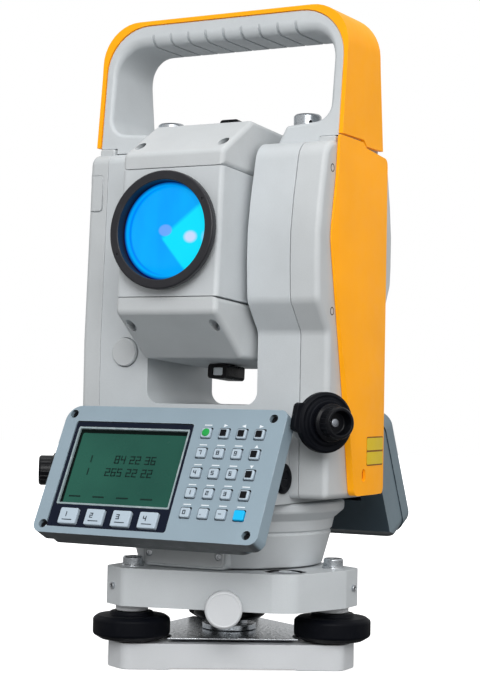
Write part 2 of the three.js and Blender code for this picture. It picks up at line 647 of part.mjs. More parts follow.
// ---------- display units, drawn upright with the face toward -Y ----------
const keyHole = (x, z, half) => alongY(box(x - half, z - half, x + half, z + half), -5, 20);
const softKeyHole = (x) => alongY(box(x - 5.6, SOFT_KEY_ROW - 4.6, x + 5.6, SOFT_KEY_ROW + 4.6), -5, 20);

const softKeyPad = (x) => alongY(box(x - 5.2, SOFT_KEY_ROW - 4.2, x + 5.2, SOFT_KEY_ROW + 4.2), -0.9, 1);

// The unit seen from its front.
const unitOutline = (left, right, inset) => outline([
  [left, FACE_BOTTOM + inset, 5], [right, FACE_BOTTOM + inset, 5],
  [right, FACE_TOP - inset, 4], [left, FACE_TOP - inset, 8.5],
]);

function displayHousing() {
  const chamfered = alongY(unitOutline(FACE_LEFT, FACE_RIGHT, 0), 0, 2 * FACE_DEPTH, 2, 3);
  const rearPart = alongY(box(-80, -60, 80, 60), FACE_DEPTH, 40);
  const cavity = alongY(box(-60, -31.6, 56.5, 32, 4), 3.4, FACE_DEPTH + 1);
  const displaySeat = alongY(
    box(BEZEL.left - GAP, BEZEL.bottom - GAP, BEZEL.right + GAP, BEZEL.top + GAP, 1.5), -5, 20,
  );
  const padHoles = KEY_ROWS.flatMap((z) => KEY_COLUMNS.map((x) => keyHole(x, z, 3.1)));
  return cut(chamfered, rearPart, cavity, displaySeat, ...padHoles);
}

// From the frame of the alidade into the frame of a display unit.
const intoUnit = (tool) => tool
  .translate(0, FACE_CENTRE[0], -FACE_CENTRE[1])
  .rotate(THREE.MathUtils.radToDeg(FACE_TILT), 0, 0);

// Back of the unit: it meets the neck, and is deeper on the screen's side and below the neck.
function rearHalf(left) {
  const rear = unitOutline(left, 52, 0.6);
  const slab = alongY(rear, FACE_DEPTH + GAP, UNIT_DEPTH);
  const slopes = alongX(outline([
    [FACE_DEPTH, -36], [13, -36], [UNIT_DEPTH, -31], [DEEP_SIDE_DEPTH, -24], [DEEP_SIDE_DEPTH, 36],
    [FACE_DEPTH, 36],
  ]), -80, 80);
  const neckRoom = intoUnit(alongZ(box(-51.4, -62, 60, 0), 82, 130));
  const rimRoom = intoUnit(turned(rod(RIM_RADIUS + 2 * GAP, 40, RIM_TOP + GAP), 48));
  const standardRoom = intoUnit(alongZ(box(-80, -47, 80, 0), 60, 140));
  const deep = cut(alongY(rear, UNIT_DEPTH - 1, DEEP_SIDE_DEPTH), neckRoom, rimRoom, standardRoom);
  const cavity = alongY(box(-58, -30, 48, 32, 4), 5, UNIT_DEPTH - 2.6);
  return cut(common(joined(slab, deep), slopes), cavity);
}

function displayModule(openSoftKeys) {
  const bezel = alongY(box(BEZEL.left, BEZEL.bottom, BEZEL.right, BEZEL.top, 1.5), 0.4, 6);
  const screenSeat = alongY(box(LCD.left, LCD.bottom, LCD.right, LCD.top, 0.8), -1, 3);
  const framed = cut(bezel, screenSeat);
  if (openSoftKeys) return cut(framed, ...SOFT_KEYS.map(softKeyHole));
  return joined(framed, ...SOFT_KEYS.map(softKeyPad));
}

const lcdGlass = () => alongY(
  box(LCD.left + GAP, LCD.bottom + GAP, LCD.right - GAP, LCD.top - GAP, 0.8), 1, 3 - GAP,
);

// Moulded silicone mat behind the number keys: one sheet with a key top at each listed place.
function keyMat(places) {
  const sheet = alongY(box(14.4, -26, 55, 28, 2), 3.8, 5.2);
  const tops = places.map(([x, z]) => alongY(box(x - 2.7, z - 2.7, x + 2.7, z + 2.7), -0.9, 4.4));
  return joined(sheet, ...tops);
}

function hardKey(name, x, z, halfWidth, halfHeight, material) {
  const key = alongY(box(-halfWidth, -halfHeight, halfWidth, halfHeight, 0.8), -1.1, 3.4, 0.4, 1);
  const mesh = piece(name, key, material);
  mesh.position.set(x, 0, z);
  return mesh;
}

const padPlaces = KEY_ROWS.flatMap((z) => KEY_COLUMNS.map((x) => [x, z]));
const POWER = [KEY_COLUMNS[0], KEY_ROWS[0]];
const ENTER = [KEY_COLUMNS[3], KEY_ROWS[4]];
const isHardKey = ([x, z]) => [POWER, ENTER].some(([kx, kz]) => kx === x && kz === z);

function displayUnit(side, hardKeys) {
  const matPlaces = hardKeys ? padPlaces.filter((place) => !isHardKey(place)) : padPlaces;
  const mat = hardKeys
    ? cut(keyMat(matPlaces), keyHole(...POWER, 3.3), keyHole(...ENTER, 3.3))
    : keyMat(matPlaces);
  const unit = group(
    piece(`${side}_display_housing`, displayHousing(), PANEL),
    piece(`${side}_display_back`, rearHalf(BACK_LEFT[side]), PANEL),
    piece(`${side}_display_bezel`, displayModule(hardKeys), BLACK),
    piece(`${side}_lcd_glass`, lcdGlass(), SCREEN),
    piece(`${side}_key_mat`, mat, KEYCAP),
  );
  if (hardKeys) {
    SOFT_KEYS.forEach((x, i) => unit.add(hardKey(`key_f${i + 1}`, x, SOFT_KEY_ROW, 5.2, 4.2, KEYCAP)));
    unit.add(hardKey('key_power', ...POWER, 2.7, 2.7, GREEN_KEY));
    unit.add(hardKey('key_enter', ...ENTER, 2.7, 2.7, CYAN_KEY));
  }
  unit.position.set(0, -FACE_CENTRE[0], FACE_CENTRE[1]);
  unit.rotation.x = -FACE_TILT;
  return unit;
}

function facingRear(unit) {
  const turnedUnit = group(unit);
  turnedUnit.rotation.z = Math.PI;
  return turnedUnit;
}

// ---------- alidade ----------
function alidade() {
  const plug = solid(lathe([[0, 30.4], [7.4, 30.4], [7.4, 35.4], [6.8, 36], [0, 36]], 24)
    .rotateX(Math.PI / 2).translate(-46, 0, 158.8));
  const port = solid(lathe([[0, 51.3], [7.5, 51.3], [7.5, 52.2], [6.4, 53.3], [0, 53.3]], 24)
    .rotateY(Math.PI / 2).translate(0, -41.9, 97));
  const latch = alongX(box(-8, 219, 8, 233, 1.8), -LEFT_SIDE - 5, -LEFT_SIDE - 1.2 - GAP, 0.6);
  return group(
    piece('alidade_base', alidadeBase(), GREY),
    piece('vertical_axis_spindle', turned(spindleProfile), STEEL),
    piece('yoke', yoke(), GREY),
    piece('right_cover', rightCover(), GREY),
    piece('left_cover', leftCover(), GREY),
    piece('right_side_panel', rightPanel(), ORANGE),
    piece('left_side_panel', leftPanel(), GREY),
    piece('battery_pack', battery(), GREY),
    piece('battery_latch', latch, BLACK),
    piece('handle_grip', handleGrip(), GREY),
    piece('handle_skin', handleSkin(), ORANGE),
    handleScrew(-1),
    handleScrew(1),
    piece('plug_cap', plug, GREY),
    piece('port_cap', port, RUBBER),
    knobPair(1, ELEVATION_KNOB_HEIGHT, ELEVATION_LEVER, 'elevation_clamp', 'elevation_tangent_knob'),
    knobPair(-1, AZIMUTH_KNOB_HEIGHT, AZIMUTH_LEVER, 'azimuth_clamp', 'azimuth_tangent_knob'),
    displayUnit('front', true),
    facingRear(displayUnit('rear', false)),
  );
}

const theodolite = group(tribrach(), alidade(), telescope());

export default theodolite;
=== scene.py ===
"""An electronic theodolite on its three-screw tribrach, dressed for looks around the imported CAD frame.

Shapes are drawn in millimetres in the frame of the sub-assembly that they belong to, then scaled to metres.
"""
import json
import math

import bmesh
import bpy
from mathutils import Matrix, Vector


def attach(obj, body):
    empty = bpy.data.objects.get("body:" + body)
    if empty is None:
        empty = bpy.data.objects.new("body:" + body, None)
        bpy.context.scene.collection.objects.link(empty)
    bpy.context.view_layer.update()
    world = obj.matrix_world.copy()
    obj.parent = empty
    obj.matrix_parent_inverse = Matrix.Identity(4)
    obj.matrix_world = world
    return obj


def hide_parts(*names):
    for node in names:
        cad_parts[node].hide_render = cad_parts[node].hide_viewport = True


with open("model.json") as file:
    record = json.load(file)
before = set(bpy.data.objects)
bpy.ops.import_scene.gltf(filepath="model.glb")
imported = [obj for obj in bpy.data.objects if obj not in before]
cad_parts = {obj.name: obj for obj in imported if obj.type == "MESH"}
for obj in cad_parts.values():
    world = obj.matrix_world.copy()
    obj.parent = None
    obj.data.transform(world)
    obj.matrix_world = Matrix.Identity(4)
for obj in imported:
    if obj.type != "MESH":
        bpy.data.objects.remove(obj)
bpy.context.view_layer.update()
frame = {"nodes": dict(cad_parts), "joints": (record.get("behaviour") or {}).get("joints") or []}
MM = 0.001

# ---------- places of the sub-assemblies, read from the frame ----------
JOINTS = {joint["name"]: joint for joint in frame["joints"]}


def anchor(joint):
    return Vector(JOINTS[joint]["pos_m"]) / MM


def extent(node, place=Matrix.Identity(4)):
    """Lowest and highest corner of a CAD node, in millimetres, in the frame of a sub-assembly."""
    back = place.inverted()
    points = [back @ (v.co / MM) for v in frame["nodes"][node].data.vertices]
    low = Vector(min(p[i] for p in points) for i in range(3))
    high = Vector(max(p[i] for p in points) for i in range(3))
    return low, high


def about_x(angle, origin=(0, 0, 0)):
    return Matrix.Translation(origin) @ Matrix.Rotation(angle, 4, "X")


def about_z(angle, origin=(0, 0, 0)):
    return Matrix.Translation(origin) @ Matrix.Rotation(angle, 4, "Z")


FACE_TOP = 36


def display_place():
    """Frame of the front display: x to the right, y into the housing, z up its face, from the middle of the face."""
    press = Vector(JOINTS["key_f1_press"]["axis"])
    tilted = about_x(math.atan2(press.z, press.y))
    low, high = extent("front_display_housing", tilted)
    return tilted @ Matrix.Translation((0, low.y, high.z - FACE_TOP))


def knob_place(joint):
    axis = JOINTS[joint]["axis"]
    return about_z(math.atan2(axis[1], axis[0]), anchor(joint))


REAR_SCREW = anchor("foot_screw_rear_turn")
SIGHT_LINE = Vector(JOINTS["focus_turn"]["axis"])
TRUNNION = anchor("altitude_tilt")
WORLD = Matrix.Identity(4)
TRIBRACH = about_z(math.atan2(-REAR_SCREW.x, REAR_SCREW.y))
TELESCOPE = about_x(-math.atan2(SIGHT_LINE.z, -SIGHT_LINE.y), TRUNNION)
FRONT = display_place()
REAR = about_z(math.pi) @ FRONT
RIGHT_KNOB = knob_place("elevation_clamp_turn")
LEFT_KNOB = knob_place("azimuth_clamp_turn")

SCREW_CIRCLE = REAR_SCREW.xy.length
BODY_BOTTOM, BODY_TOP = 31.5, 50.4
RIM = extent("alidade_base")[1].z
YOKE_LOW, YOKE_HIGH = extent("yoke")
SEAMS = (YOKE_LOW.x, YOKE_HIGH.x)
COVER_LOW, COVER_HIGH = extent("right_cover")
SIDE = extent("right_side_panel")[0].x - 0.3
PANEL_OUT = extent("right_side_panel")[1].x
ARM_TOP = YOKE_HIGH.z
ARM_INNER = 32.3
ARM_FRONT = 34
ARM_BOTTOM = 87
BULGE_FRONT, BULGE_REAR = 48, 43
DECK_TOP = 132.5
HANDLE_TOP = extent("handle_skin")[1].z
HANDLE_HALF = extent("handle_skin")[1].x
HANDLE_SCREW = anchor("handle_screw_right_turn").x
COVER_TOP = COVER_HIGH.z
SKIN = 2.2
HANDLE_RADIUS = 21.5
SEAM_RADIUS = 25
GAP = 0.3
LEFT_FACE = -extent("left_side_panel")[1].x - GAP
LEFT_PANEL_OUT = -extent("left_side_panel")[0].x

TUBE_HALF = 29
TUBE_FRONT = 69
TUBE_REAR = 50
RING_FRONT = 77
RING_SWEEP = 84
SPLIT = 32

KEY_COLUMNS = (19.7, 29.5, 39.3, 49.1)
KEY_ROWS = (22.4, 11.7, 1, -9.6, -20)
POWER = (KEY_COLUMNS[0], KEY_ROWS[0])
ENTER = (KEY_COLUMNS[3], KEY_ROWS[4])
SOFT_KEYS = (-45.7, -30.3, -14.9, 0.5)
SOFT_KEY_ROW = -25.2
LCD = (-54.2, -17.2, 9.4, 22.8)
BEZEL = (-57.6, -30.6, 11.2, 27)


# ---------- drawing solids ----------
def rounded(corners, step=math.radians(9)):
    """Closed outline through corners (u, v, radius), each rounded by an arc of that radius."""
    outline = []
    for i, (u, v, *radius) in enumerate(corners):
        here = Vector((u, v))
        if not radius or radius[0] == 0:
            outline.append(here)
            continue
        before = (Vector(corners[i - 1][:2]) - here).normalized()
        after = (Vector(corners[(i + 1) % len(corners)][:2]) - here).normalized()
        half = before.angle(after) / 2
        centre = here + (before + after).normalized() * (radius[0] / math.sin(half))
        reach = radius[0] / math.tan(half)
        start = here + before * reach - centre
        end = here + after * reach - centre
        begin = math.atan2(start.y, start.x)
        sweep = (math.atan2(end.y, end.x) - begin + math.pi) % math.tau - math.pi
        count = max(2, math.ceil(abs(sweep) / step))
        for k in range(count + 1):
            angle = begin + sweep * k / count
            outline.append(centre + radius[0] * Vector((math.cos(angle), math.sin(angle))))
    return outline


def box(left, bottom, right, top, radius=0):
    return [(left, bottom, radius), (right, bottom, radius), (right, top, radius), (left, top, radius)]


def two_sided(plus, minus):
    """Closed outline from the corners of its plus side and of its minus side, both from bottom to top."""
    return list(plus) + [(-u, *rest) for u, *rest in reversed(minus)]


def mirrored(corners):
    return two_sided(corners, corners)


def new_object(name, points, faces):
    mesh = bpy.data.meshes.new(name)
    mesh.from_pydata([Vector(p) * MM for p in points], [], faces)
    shape = bmesh.new()
    shape.from_mesh(mesh)
    bmesh.ops.remove_doubles(shape, verts=shape.verts, dist=1e-7)
    bmesh.ops.recalc_face_normals(shape, faces=shape.faces)
    shape.to_mesh(mesh)
    shape.free()
    obj = bpy.data.objects.new(name, mesh)
    bpy.context.scene.collection.objects.link(obj)
    return obj


ORDER = {"X": lambda u, v, w: (w, u, v), "Y": lambda u, v, w: (u, w, v), "Z": lambda u, v, w: (u, v, w)}


def prism(corners, low, high, along="Z"):
    """Solid between two heights along an axis. The outline lies in the other two axes, in their order."""
    outline = rounded(corners)
    count = len(outline)
    order = ORDER[along]
    points = [order(u, v, w) for w in (low, high) for u, v in outline]
    sides = [(i, (i + 1) % count, count + (i + 1) % count, count + i) for i in range(count)]
    caps = [tuple(range(count)), tuple(range(2 * count - 1, count - 1, -1))]
    return new_object("prism", points, sides + caps)


def turned(profile, along="Z", at=(0, 0, 0), segments=72):
    """Solid of revolution of (radius, height, rounding) corners; "-Y" runs forward from the axis."""
    outline = rounded(profile, math.radians(22))
    turns = {
        "X": lambda r, h, a: (h, r * math.cos(a), r * math.sin(a)),
        "-X": lambda r, h, a: (-h, r * math.cos(a), r * math.sin(a)),
        "-Y": lambda r, h, a: (r * math.cos(a), -h, r * math.sin(a)),
        "Z": lambda r, h, a: (r * math.cos(a), r * math.sin(a), h),
    }
    points, rings = [], []
    for radius, height in outline:
        steps = 1 if radius < 1e-4 else segments
        rings.append(range(len(points), len(points) + steps))
        points += [turns[along](radius, height, math.tau * k / segments) for k in range(steps)]
    faces = []
    for one, two in zip(rings, rings[1:] + rings[:1]):
        for k in range(segments):
            n = (k + 1) % segments
            corners = [one[k % len(one)], one[n % len(one)], two[n % len(two)], two[k % len(two)]]
            corners = list(dict.fromkeys(corners))
            if len(corners) > 2:
                faces.append(corners)
    return new_object("turned", [Vector(p) + Vector(at) for p in points], faces)


def rod(radius, low, high):
    return [(0, low), (radius, low), (radius, high), (0, high)]


def tube(inner, outer, low, high, rounding=0):
    return [(inner, low, rounding), (outer, low, rounding), (outer, high, rounding), (inner, high, rounding)]


def settled(obj):
    """Applies the modifiers of obj."""
    graph = bpy.context.evaluated_depsgraph_get()
    mesh = bpy.data.meshes.new_from_object(obj.evaluated_get(graph))
    obj.modifiers.clear()
    obj.data = mesh
    return obj


def combined(base, tools, operation):
    for tool in tools:
        step = base.modifiers.new("combine", "BOOLEAN")
        step.solver = "MANIFOLD"
        step.operation = operation
        step.object = tool
    settled(base)
    for tool in tools:
        bpy.data.objects.remove(tool)
    return base


def joined(base, *tools):
    return combined(base, tools, "UNION")


def cut(base, *tools):
    return combined(base, tools, "DIFFERENCE")


def common(base, *tools):
    return combined(base, tools, "INTERSECT")


def loose(base, *others):
    """Solids that stay separate inside one piece."""
    shape = bmesh.new()
    for obj in (base, *others):
        shape.from_mesh(obj.data)
    shape.to_mesh(base.data)
    shape.free()
    for obj in others:
        bpy.data.objects.remove(obj)
    return base


SHARP = math.radians(28)


def soften(obj, width, rule=None, segments=3, clamp=True):
    """Rounds every sharp edge by width, or by what rule(middle of the edge, its faces' normals) returns."""
    shape = bmesh.new()
    shape.from_mesh(obj.data)
    bmesh.ops.dissolve_limit(shape, angle_limit=math.radians(0.4), verts=shape.verts, edges=shape.edges)
    weights = {}
    for edge in shape.edges:
        if len(edge.link_faces) == 2 and edge.calc_face_angle(0) > SHARP:
            middle = (edge.verts[0].co + edge.verts[1].co) / (2 * MM)
            chosen = rule(middle, [f.normal for f in edge.link_faces]) if rule else None
            weights[edge.index] = width if chosen is None else chosen
    shape.to_mesh(obj.data)
    shape.free()
    widest = max(weights.values(), default=0)
    if widest == 0:
        return obj
    layer = obj.data.attributes.new("bevel_weight_edge", "FLOAT", "EDGE")
    for index, value in weights.items():
        layer.data[index].value = value / widest
    bevel = obj.modifiers.new("bevel", "BEVEL")
    bevel.limit_method = "WEIGHT"
    bevel.width = widest * MM
    bevel.segments = segments
    bevel.use_clamp_overlap = clamp
    return settled(obj)


def piece(name, obj, body, slot, place=WORLD, replaces=(), smooth=35):
    """Names and places a finished shape, gives it its material and lets it ride on a CAD body."""
    scale = Matrix.Diagonal((MM, MM, MM, 1))
    obj.data.transform(scale @ place @ scale.inverted())
    obj.name = name
    obj.data.name = name
    obj.data.materials.clear()
    obj.data.materials.append(MATERIALS[slot])
    obj.data.shade_smooth()
    obj.data.set_sharp_from_angle(angle=math.radians(smooth))
    normals = obj.modifiers.new("normals", "WEIGHTED_NORMAL")
    normals.keep_sharp = True
    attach(obj, body)
    if replaces:
        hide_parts(*replaces)
    return obj


def add(tree, kind, sockets=None, **settings):
    node = tree.nodes.new("ShaderNode" + kind)
    for key, value in settings.items():
        setattr(node, key, value)
    for key, value in (sockets or {}).items():
        if isinstance(value, bpy.types.NodeSocket):
            tree.links.new(value, node.inputs[key])
        else:
            node.inputs[key].default_value = value
    return node


def linear(hexadecimal, gain=1):
    """Linear RGBA of an sRGB colour such as 0xc8cdd0."""
    channels = [(hexadecimal >> shift & 255) / 255 for shift in (16, 8, 0)]
    return [gain * (c / 12.92 if c <= 0.04045 else ((c + 0.055) / 1.055) ** 2.4) for c in channels] + [1]


def new_material(name):
    material = bpy.data.materials.new(name)
    material.use_nodes = True
    tree = material.node_tree
    return material, tree, tree.nodes["Principled BSDF"]


def mapped(tree, value, low, high, start=0.0, end=1.0):
    sockets = {"Value": value, "From Min": low, "From Max": high, "To Min": start, "To Max": end}
    return add(tree, "MapRange", sockets).outputs["Result"]


def blended(tree, factor, one, two):
    node = add(tree, "Mix", data_type="RGBA")
    for socket, value in ((node.inputs[0], factor), (node.inputs[6], one), (node.inputs[7], two)):
        if isinstance(value, bpy.types.NodeSocket):
            tree.links.new(value, socket)
        else:
            socket.default_value = value
    return node.outputs[2]


def noise(tree, scale, detail=2.0, stretch=(1, 1, 1)):
    place = add(tree, "TexCoord").outputs["Object"]
    place = add(tree, "Mapping", {"Vector": place, "Scale": stretch}).outputs["Vector"]
    return add(tree, "TexNoise", {"Vector": place, "Scale": scale, "Detail": detail}).outputs["Fac"]


def edge_mask(tree, radius=0.0009):
    """1 on convex and concave edges, 0 on flats."""
    soft = add(tree, "Bevel", {"Radius": radius}, samples=4).outputs["Normal"]
    flat = add(tree, "NewGeometry").outputs["Normal"]
    along = add(tree, "VectorMath", operation="DOT_PRODUCT")
    tree.links.new(soft, along.inputs[0])
    tree.links.new(flat, along.inputs[1])
    return mapped(tree, along.outputs["Value"], 0.99, 0.88)


def bumped(tree, surface, height, distance, strength=0.5):
    sockets = {"Height": height, "Distance": distance, "Strength": strength}
    tree.links.new(add(tree, "Bump", sockets).outputs["Normal"], surface.inputs["Normal"])


def painted_shade_mask(tree):
    """1 on faces that look down, or along Y toward the middle of the instrument: where shade is painted into the
    colour.
    """
    coordinates = add(tree, "TexCoord")
    normal = add(tree, "SeparateXYZ", {"Vector": coordinates.outputs["Normal"]})
    place = add(tree, "SeparateXYZ", {"Vector": coordinates.outputs["Object"]}).outputs["Y"]
    side = add(tree, "Math", {0: place}, operation="SIGN").outputs[0]
    outward = add(tree, "Math", {0: normal.outputs["Y"], 1: side}, operation="MULTIPLY").outputs[0]
    inward = mapped(tree, outward, -0.35, -0.6)
    down = mapped(tree, normal.outputs["Z"], -0.55, -0.75)
    return add(tree, "Math", {0: inward, 1: down}, operation="MAXIMUM").outputs[0]


def painted(name, colour, roughness, grain=0.5, wear_and_highlight=0.35, worn_and_lit_edge=0xe9ecee, coat=0.08, shine=0.5, glow=0.0,
            painted_shade_colour=None):
    """Powder-painted casting: cloudy tone, fine grain, paler edges that are partly rubbed paint and partly painted
    highlight, uneven gloss; optionally painted shade on faces that look down or inward, and a painted glow.
    """
    material, tree, surface = new_material(name)
    clouds = noise(tree, 34, 3)
    speckle = noise(tree, 2400, 1)
    tone = blended(tree, mapped(tree, clouds, 0.3, 0.7), linear(colour, 0.95), linear(colour, 1.04))
    tone = blended(tree, mapped(tree, speckle, 0.35, 0.75, 0, grain * 0.2), tone, linear(colour, 0.6))
    # Painted shade: faces that look down or inward take a darker colour.
    if painted_shade_colour:
        tone = blended(tree, painted_shade_mask(tree), tone, linear(painted_shade_colour))
    # Paler edges: partly rubbed paint, partly painted highlight.
    scuffs = mapped(tree, noise(tree, 260, 4), 0.5, 0.62)
    edges = add(tree, "Math", {0: edge_mask(tree), 1: scuffs}, operation="MULTIPLY").outputs[0]
    worn_and_lit_share = add(tree, "Math", {0: edges, 1: wear_and_highlight}, operation="MULTIPLY").outputs[0]
    tone = blended(tree, worn_and_lit_share, tone, linear(worn_and_lit_edge))
    tree.links.new(tone, surface.inputs["Base Color"])
    gloss = mapped(tree, noise(tree, 150, 4), 0.3, 0.7, roughness - 0.06, roughness + 0.07)
    tree.links.new(gloss, surface.inputs["Roughness"])
    surface.inputs["Coat Weight"].default_value = coat
    surface.inputs["Coat Roughness"].default_value = 0.3
    surface.inputs["Specular IOR Level"].default_value = shine
    # Painted light: the paint glows in its own colour.
    if glow:
        tree.links.new(tone, surface.inputs["Emission Color"])
        surface.inputs["Emission Strength"].default_value = glow
    bumped(tree, surface, noise(tree, 1500, 2), 0.00006, 0.3 + grain * 0.4)
    return material


def moulded(name, colour, roughness, sheen=0.0, pitch=900, dust=0.03, polish=0.07, shine=0.2):
    """Moulded plastic or rubber: spark-eroded grain, handling polish on the edges and a little dust."""
    material, tree, surface = new_material(name)
    dusty = mapped(tree, noise(tree, 120, 5), 0.52, 0.72, 0, dust)
    tone = blended(tree, dusty, linear(colour), linear(0x9a9c9e, 0.5))
    tone = blended(tree, mapped(tree, edge_mask(tree), 0, 1, 0, polish), tone, linear(0x8a9096))
    tree.links.new(tone, surface.inputs["Base Color"])
    gloss = mapped(tree, noise(tree, 90, 4), 0.3, 0.7, roughness - 0.08, roughness + 0.1)
    tree.links.new(gloss, surface.inputs["Roughness"])
    surface.inputs["Sheen Weight"].default_value = sheen
    surface.inputs["Specular IOR Level"].default_value = shine
    grain = add(tree, "TexVoronoi", {"Vector": add(tree, "TexCoord").outputs["Object"], "Scale": pitch})
    bumped(tree, surface, grain.outputs["Distance"], 0.00005, 0.35)
    return material


def metal(name, colour, roughness, stretch=(1, 1, 14), scratch=0.4):
    """Machined metal: fine drawn lines, smudges of uneven gloss and paler edges."""
    material, tree, surface = new_material(name)
    lines = noise(tree, 700, 3, stretch)
    smudge = mapped(tree, noise(tree, 60, 4), 0.35, 0.7, 0, 0.3)
    tone = blended(tree, smudge, linear(colour), linear(colour, 0.62))
    tone = blended(tree, mapped(tree, edge_mask(tree), 0, 1, 0, 0.5), tone, linear(0xffffff, 0.9))
    tree.links.new(tone, surface.inputs["Base Color"])
    surface.inputs["Metallic"].default_value = 1
    gloss = mapped(tree, lines, 0.3, 0.7, roughness * 0.7, roughness * 1.5)
    tree.links.new(gloss, surface.inputs["Roughness"])
    bumped(tree, surface, lines, 0.00003, scratch)
    return material


LENS_LIT_SHARE = 0.2  # share of the lens colour kept as lit base colour; the rest of its brightness is painted glow


def coated_lens():
    """Coated front lens, in the telescope's frame: its clear blue mostly glows as painted light; a cyan wedge, a blue
    line and pale spots are painted reflections, and it turns dark navy toward its rim.
    """
    material, tree, surface = new_material("coated_lens")
    place = add(tree, "TexCoord").outputs["Object"]
    axes = add(tree, "SeparateXYZ", {"Vector": place})
    radius = LENS_RADIUS * MM

    def sum_of(one, two, operation="ADD"):
        return add(tree, "Math", {0: one, 1: two}, operation=operation).outputs[0]

    across = sum_of(axes.outputs["X"], radius, "DIVIDE")
    upward = sum_of(sum_of(axes.outputs["Z"], (TRUNNION.z + LENS_RISE) * MM, "SUBTRACT"), radius, "DIVIDE")

    def disc(x, z, size, softness, stretch=1.0):
        """1 inside a disc at x, z; all in shares of the lens radius."""
        offset = add(tree, "CombineXYZ", {
            "X": sum_of(sum_of(across, x, "SUBTRACT"), stretch, "DIVIDE"), "Z": sum_of(upward, z, "SUBTRACT"),
        }).outputs["Vector"]
        away = add(tree, "VectorMath", {0: offset}, operation="LENGTH").outputs["Value"]
        return mapped(tree, away, size + softness, size)

    def over(tone, mask, colour, share=1.0):
        return blended(tree, mapped(tree, mask, 0, 1, 0, share), tone, linear(colour))

    # Painted reflections: the cyan wedge, the blue line and the pale spots below are fixed in the lens colour.
    clouds = noise(tree, 60, 3, (1, 1, 0.3))
    tone = blended(tree, mapped(tree, clouds, 0.3, 0.7), linear(0x009cff), linear(0x00b0ff))
    above = sum_of(sum_of(across, 0.83, "MULTIPLY"), sum_of(upward, 0.2), "SUBTRACT")
    below = sum_of(sum_of(across, 1.22, "MULTIPLY"), sum_of(upward, 0.22))
    painted_reflection_wedge = sum_of(mapped(tree, above, -0.14, -0.02), mapped(tree, below, -0.04, 0.04), "MULTIPLY")
    tone = over(tone, painted_reflection_wedge, 0x0ae4ff, 0.95)
    painted_reflection_line = sum_of(disc(0.05, 0, 0.9, 0.03), disc(0.11, 0, 0.9, 0.03), "SUBTRACT")
    tone = over(tone, mapped(tree, painted_reflection_line, 0, 1), 0x0080ff, 0.8)
    tone = over(tone, disc(0.03, 0.0, 0.1, 0.03, 1.3), 0x6ea8ff, 0.95)
    tone = over(tone, disc(0.6, -0.14, 0.08, 0.06, 1.2), 0xcfdcff, 0.95)
    tone = over(tone, disc(0.9, -0.15, 0.05, 0.1, 0.5), 0x8fd0ff, 0.7)
    tone = blended(tree, disc(0, 0, 0.93, 0.07), linear(0x06137e), tone)
    tree.links.new(blended(tree, LENS_LIT_SHARE, linear(0x000000), tone), surface.inputs["Base Color"])
    # Painted light: the lens glows in its own colour.
    tree.links.new(tone, surface.inputs["Emission Color"])
    surface.inputs["Emission Strength"].default_value = 0.82
    smears = mapped(tree, noise(tree, 70, 5), 0.35, 0.7, 0.12, 0.22)
    tree.links.new(smears, surface.inputs["Roughness"])
    surface.inputs["Specular IOR Level"].default_value = 0.12
    return material


def display_glass():
    """Green liquid-crystal panel with its dot grid."""
    material, tree, surface = new_material("lcd")
    place = add(tree, "TexCoord").outputs["Object"]
    waves = []
    for direction in ("X", "Z"):
        wave = add(tree, "TexWave", {"Vector": place, "Scale": 560}, bands_direction=direction)
        waves.append(wave.outputs["Fac"])
    dots = add(tree, "Math", {0: waves[0], 1: waves[1]}, operation="MULTIPLY").outputs[0]
    cloud = noise(tree, 26, 2)
    tone = blended(tree, mapped(tree, cloud, 0.3, 0.7), linear(0x1d4d42), linear(0x255a4c))
    tone = blended(tree, mapped(tree, dots, 0.2, 1, 0, 0.1), tone, linear(0x43705f))
    tree.links.new(tone, surface.inputs["Base Color"])
    gloss = mapped(tree, noise(tree, 120, 3), 0.3, 0.7, 0.18, 0.3)
    tree.links.new(gloss, surface.inputs["Roughness"])
    surface.inputs["Specular IOR Level"].default_value = 0.15
    return material


def level_glass():
    """Dark spirit-level glass."""
    material, tree, surface = new_material("level_glass")
    shade = mapped(tree, noise(tree, 90, 3), 0.3, 0.7)
    tree.links.new(blended(tree, shade, linear(0x101a2c), linear(0x1b2a40)), surface.inputs["Base Color"])
    gloss = mapped(tree, noise(tree, 200, 2), 0.3, 0.7, 0.05, 0.12)
    tree.links.new(gloss, surface.inputs["Roughness"])
    surface.inputs["Coat Weight"].default_value = 1
    return material


lens_low, lens_high = extent("objective_lens", TELESCOPE)
LENS_RADIUS = (lens_high.x - lens_low.x) / 2
LENS_RISE = (TELESCOPE @ Vector((0, lens_low.y, 0)) - TRUNNION).z

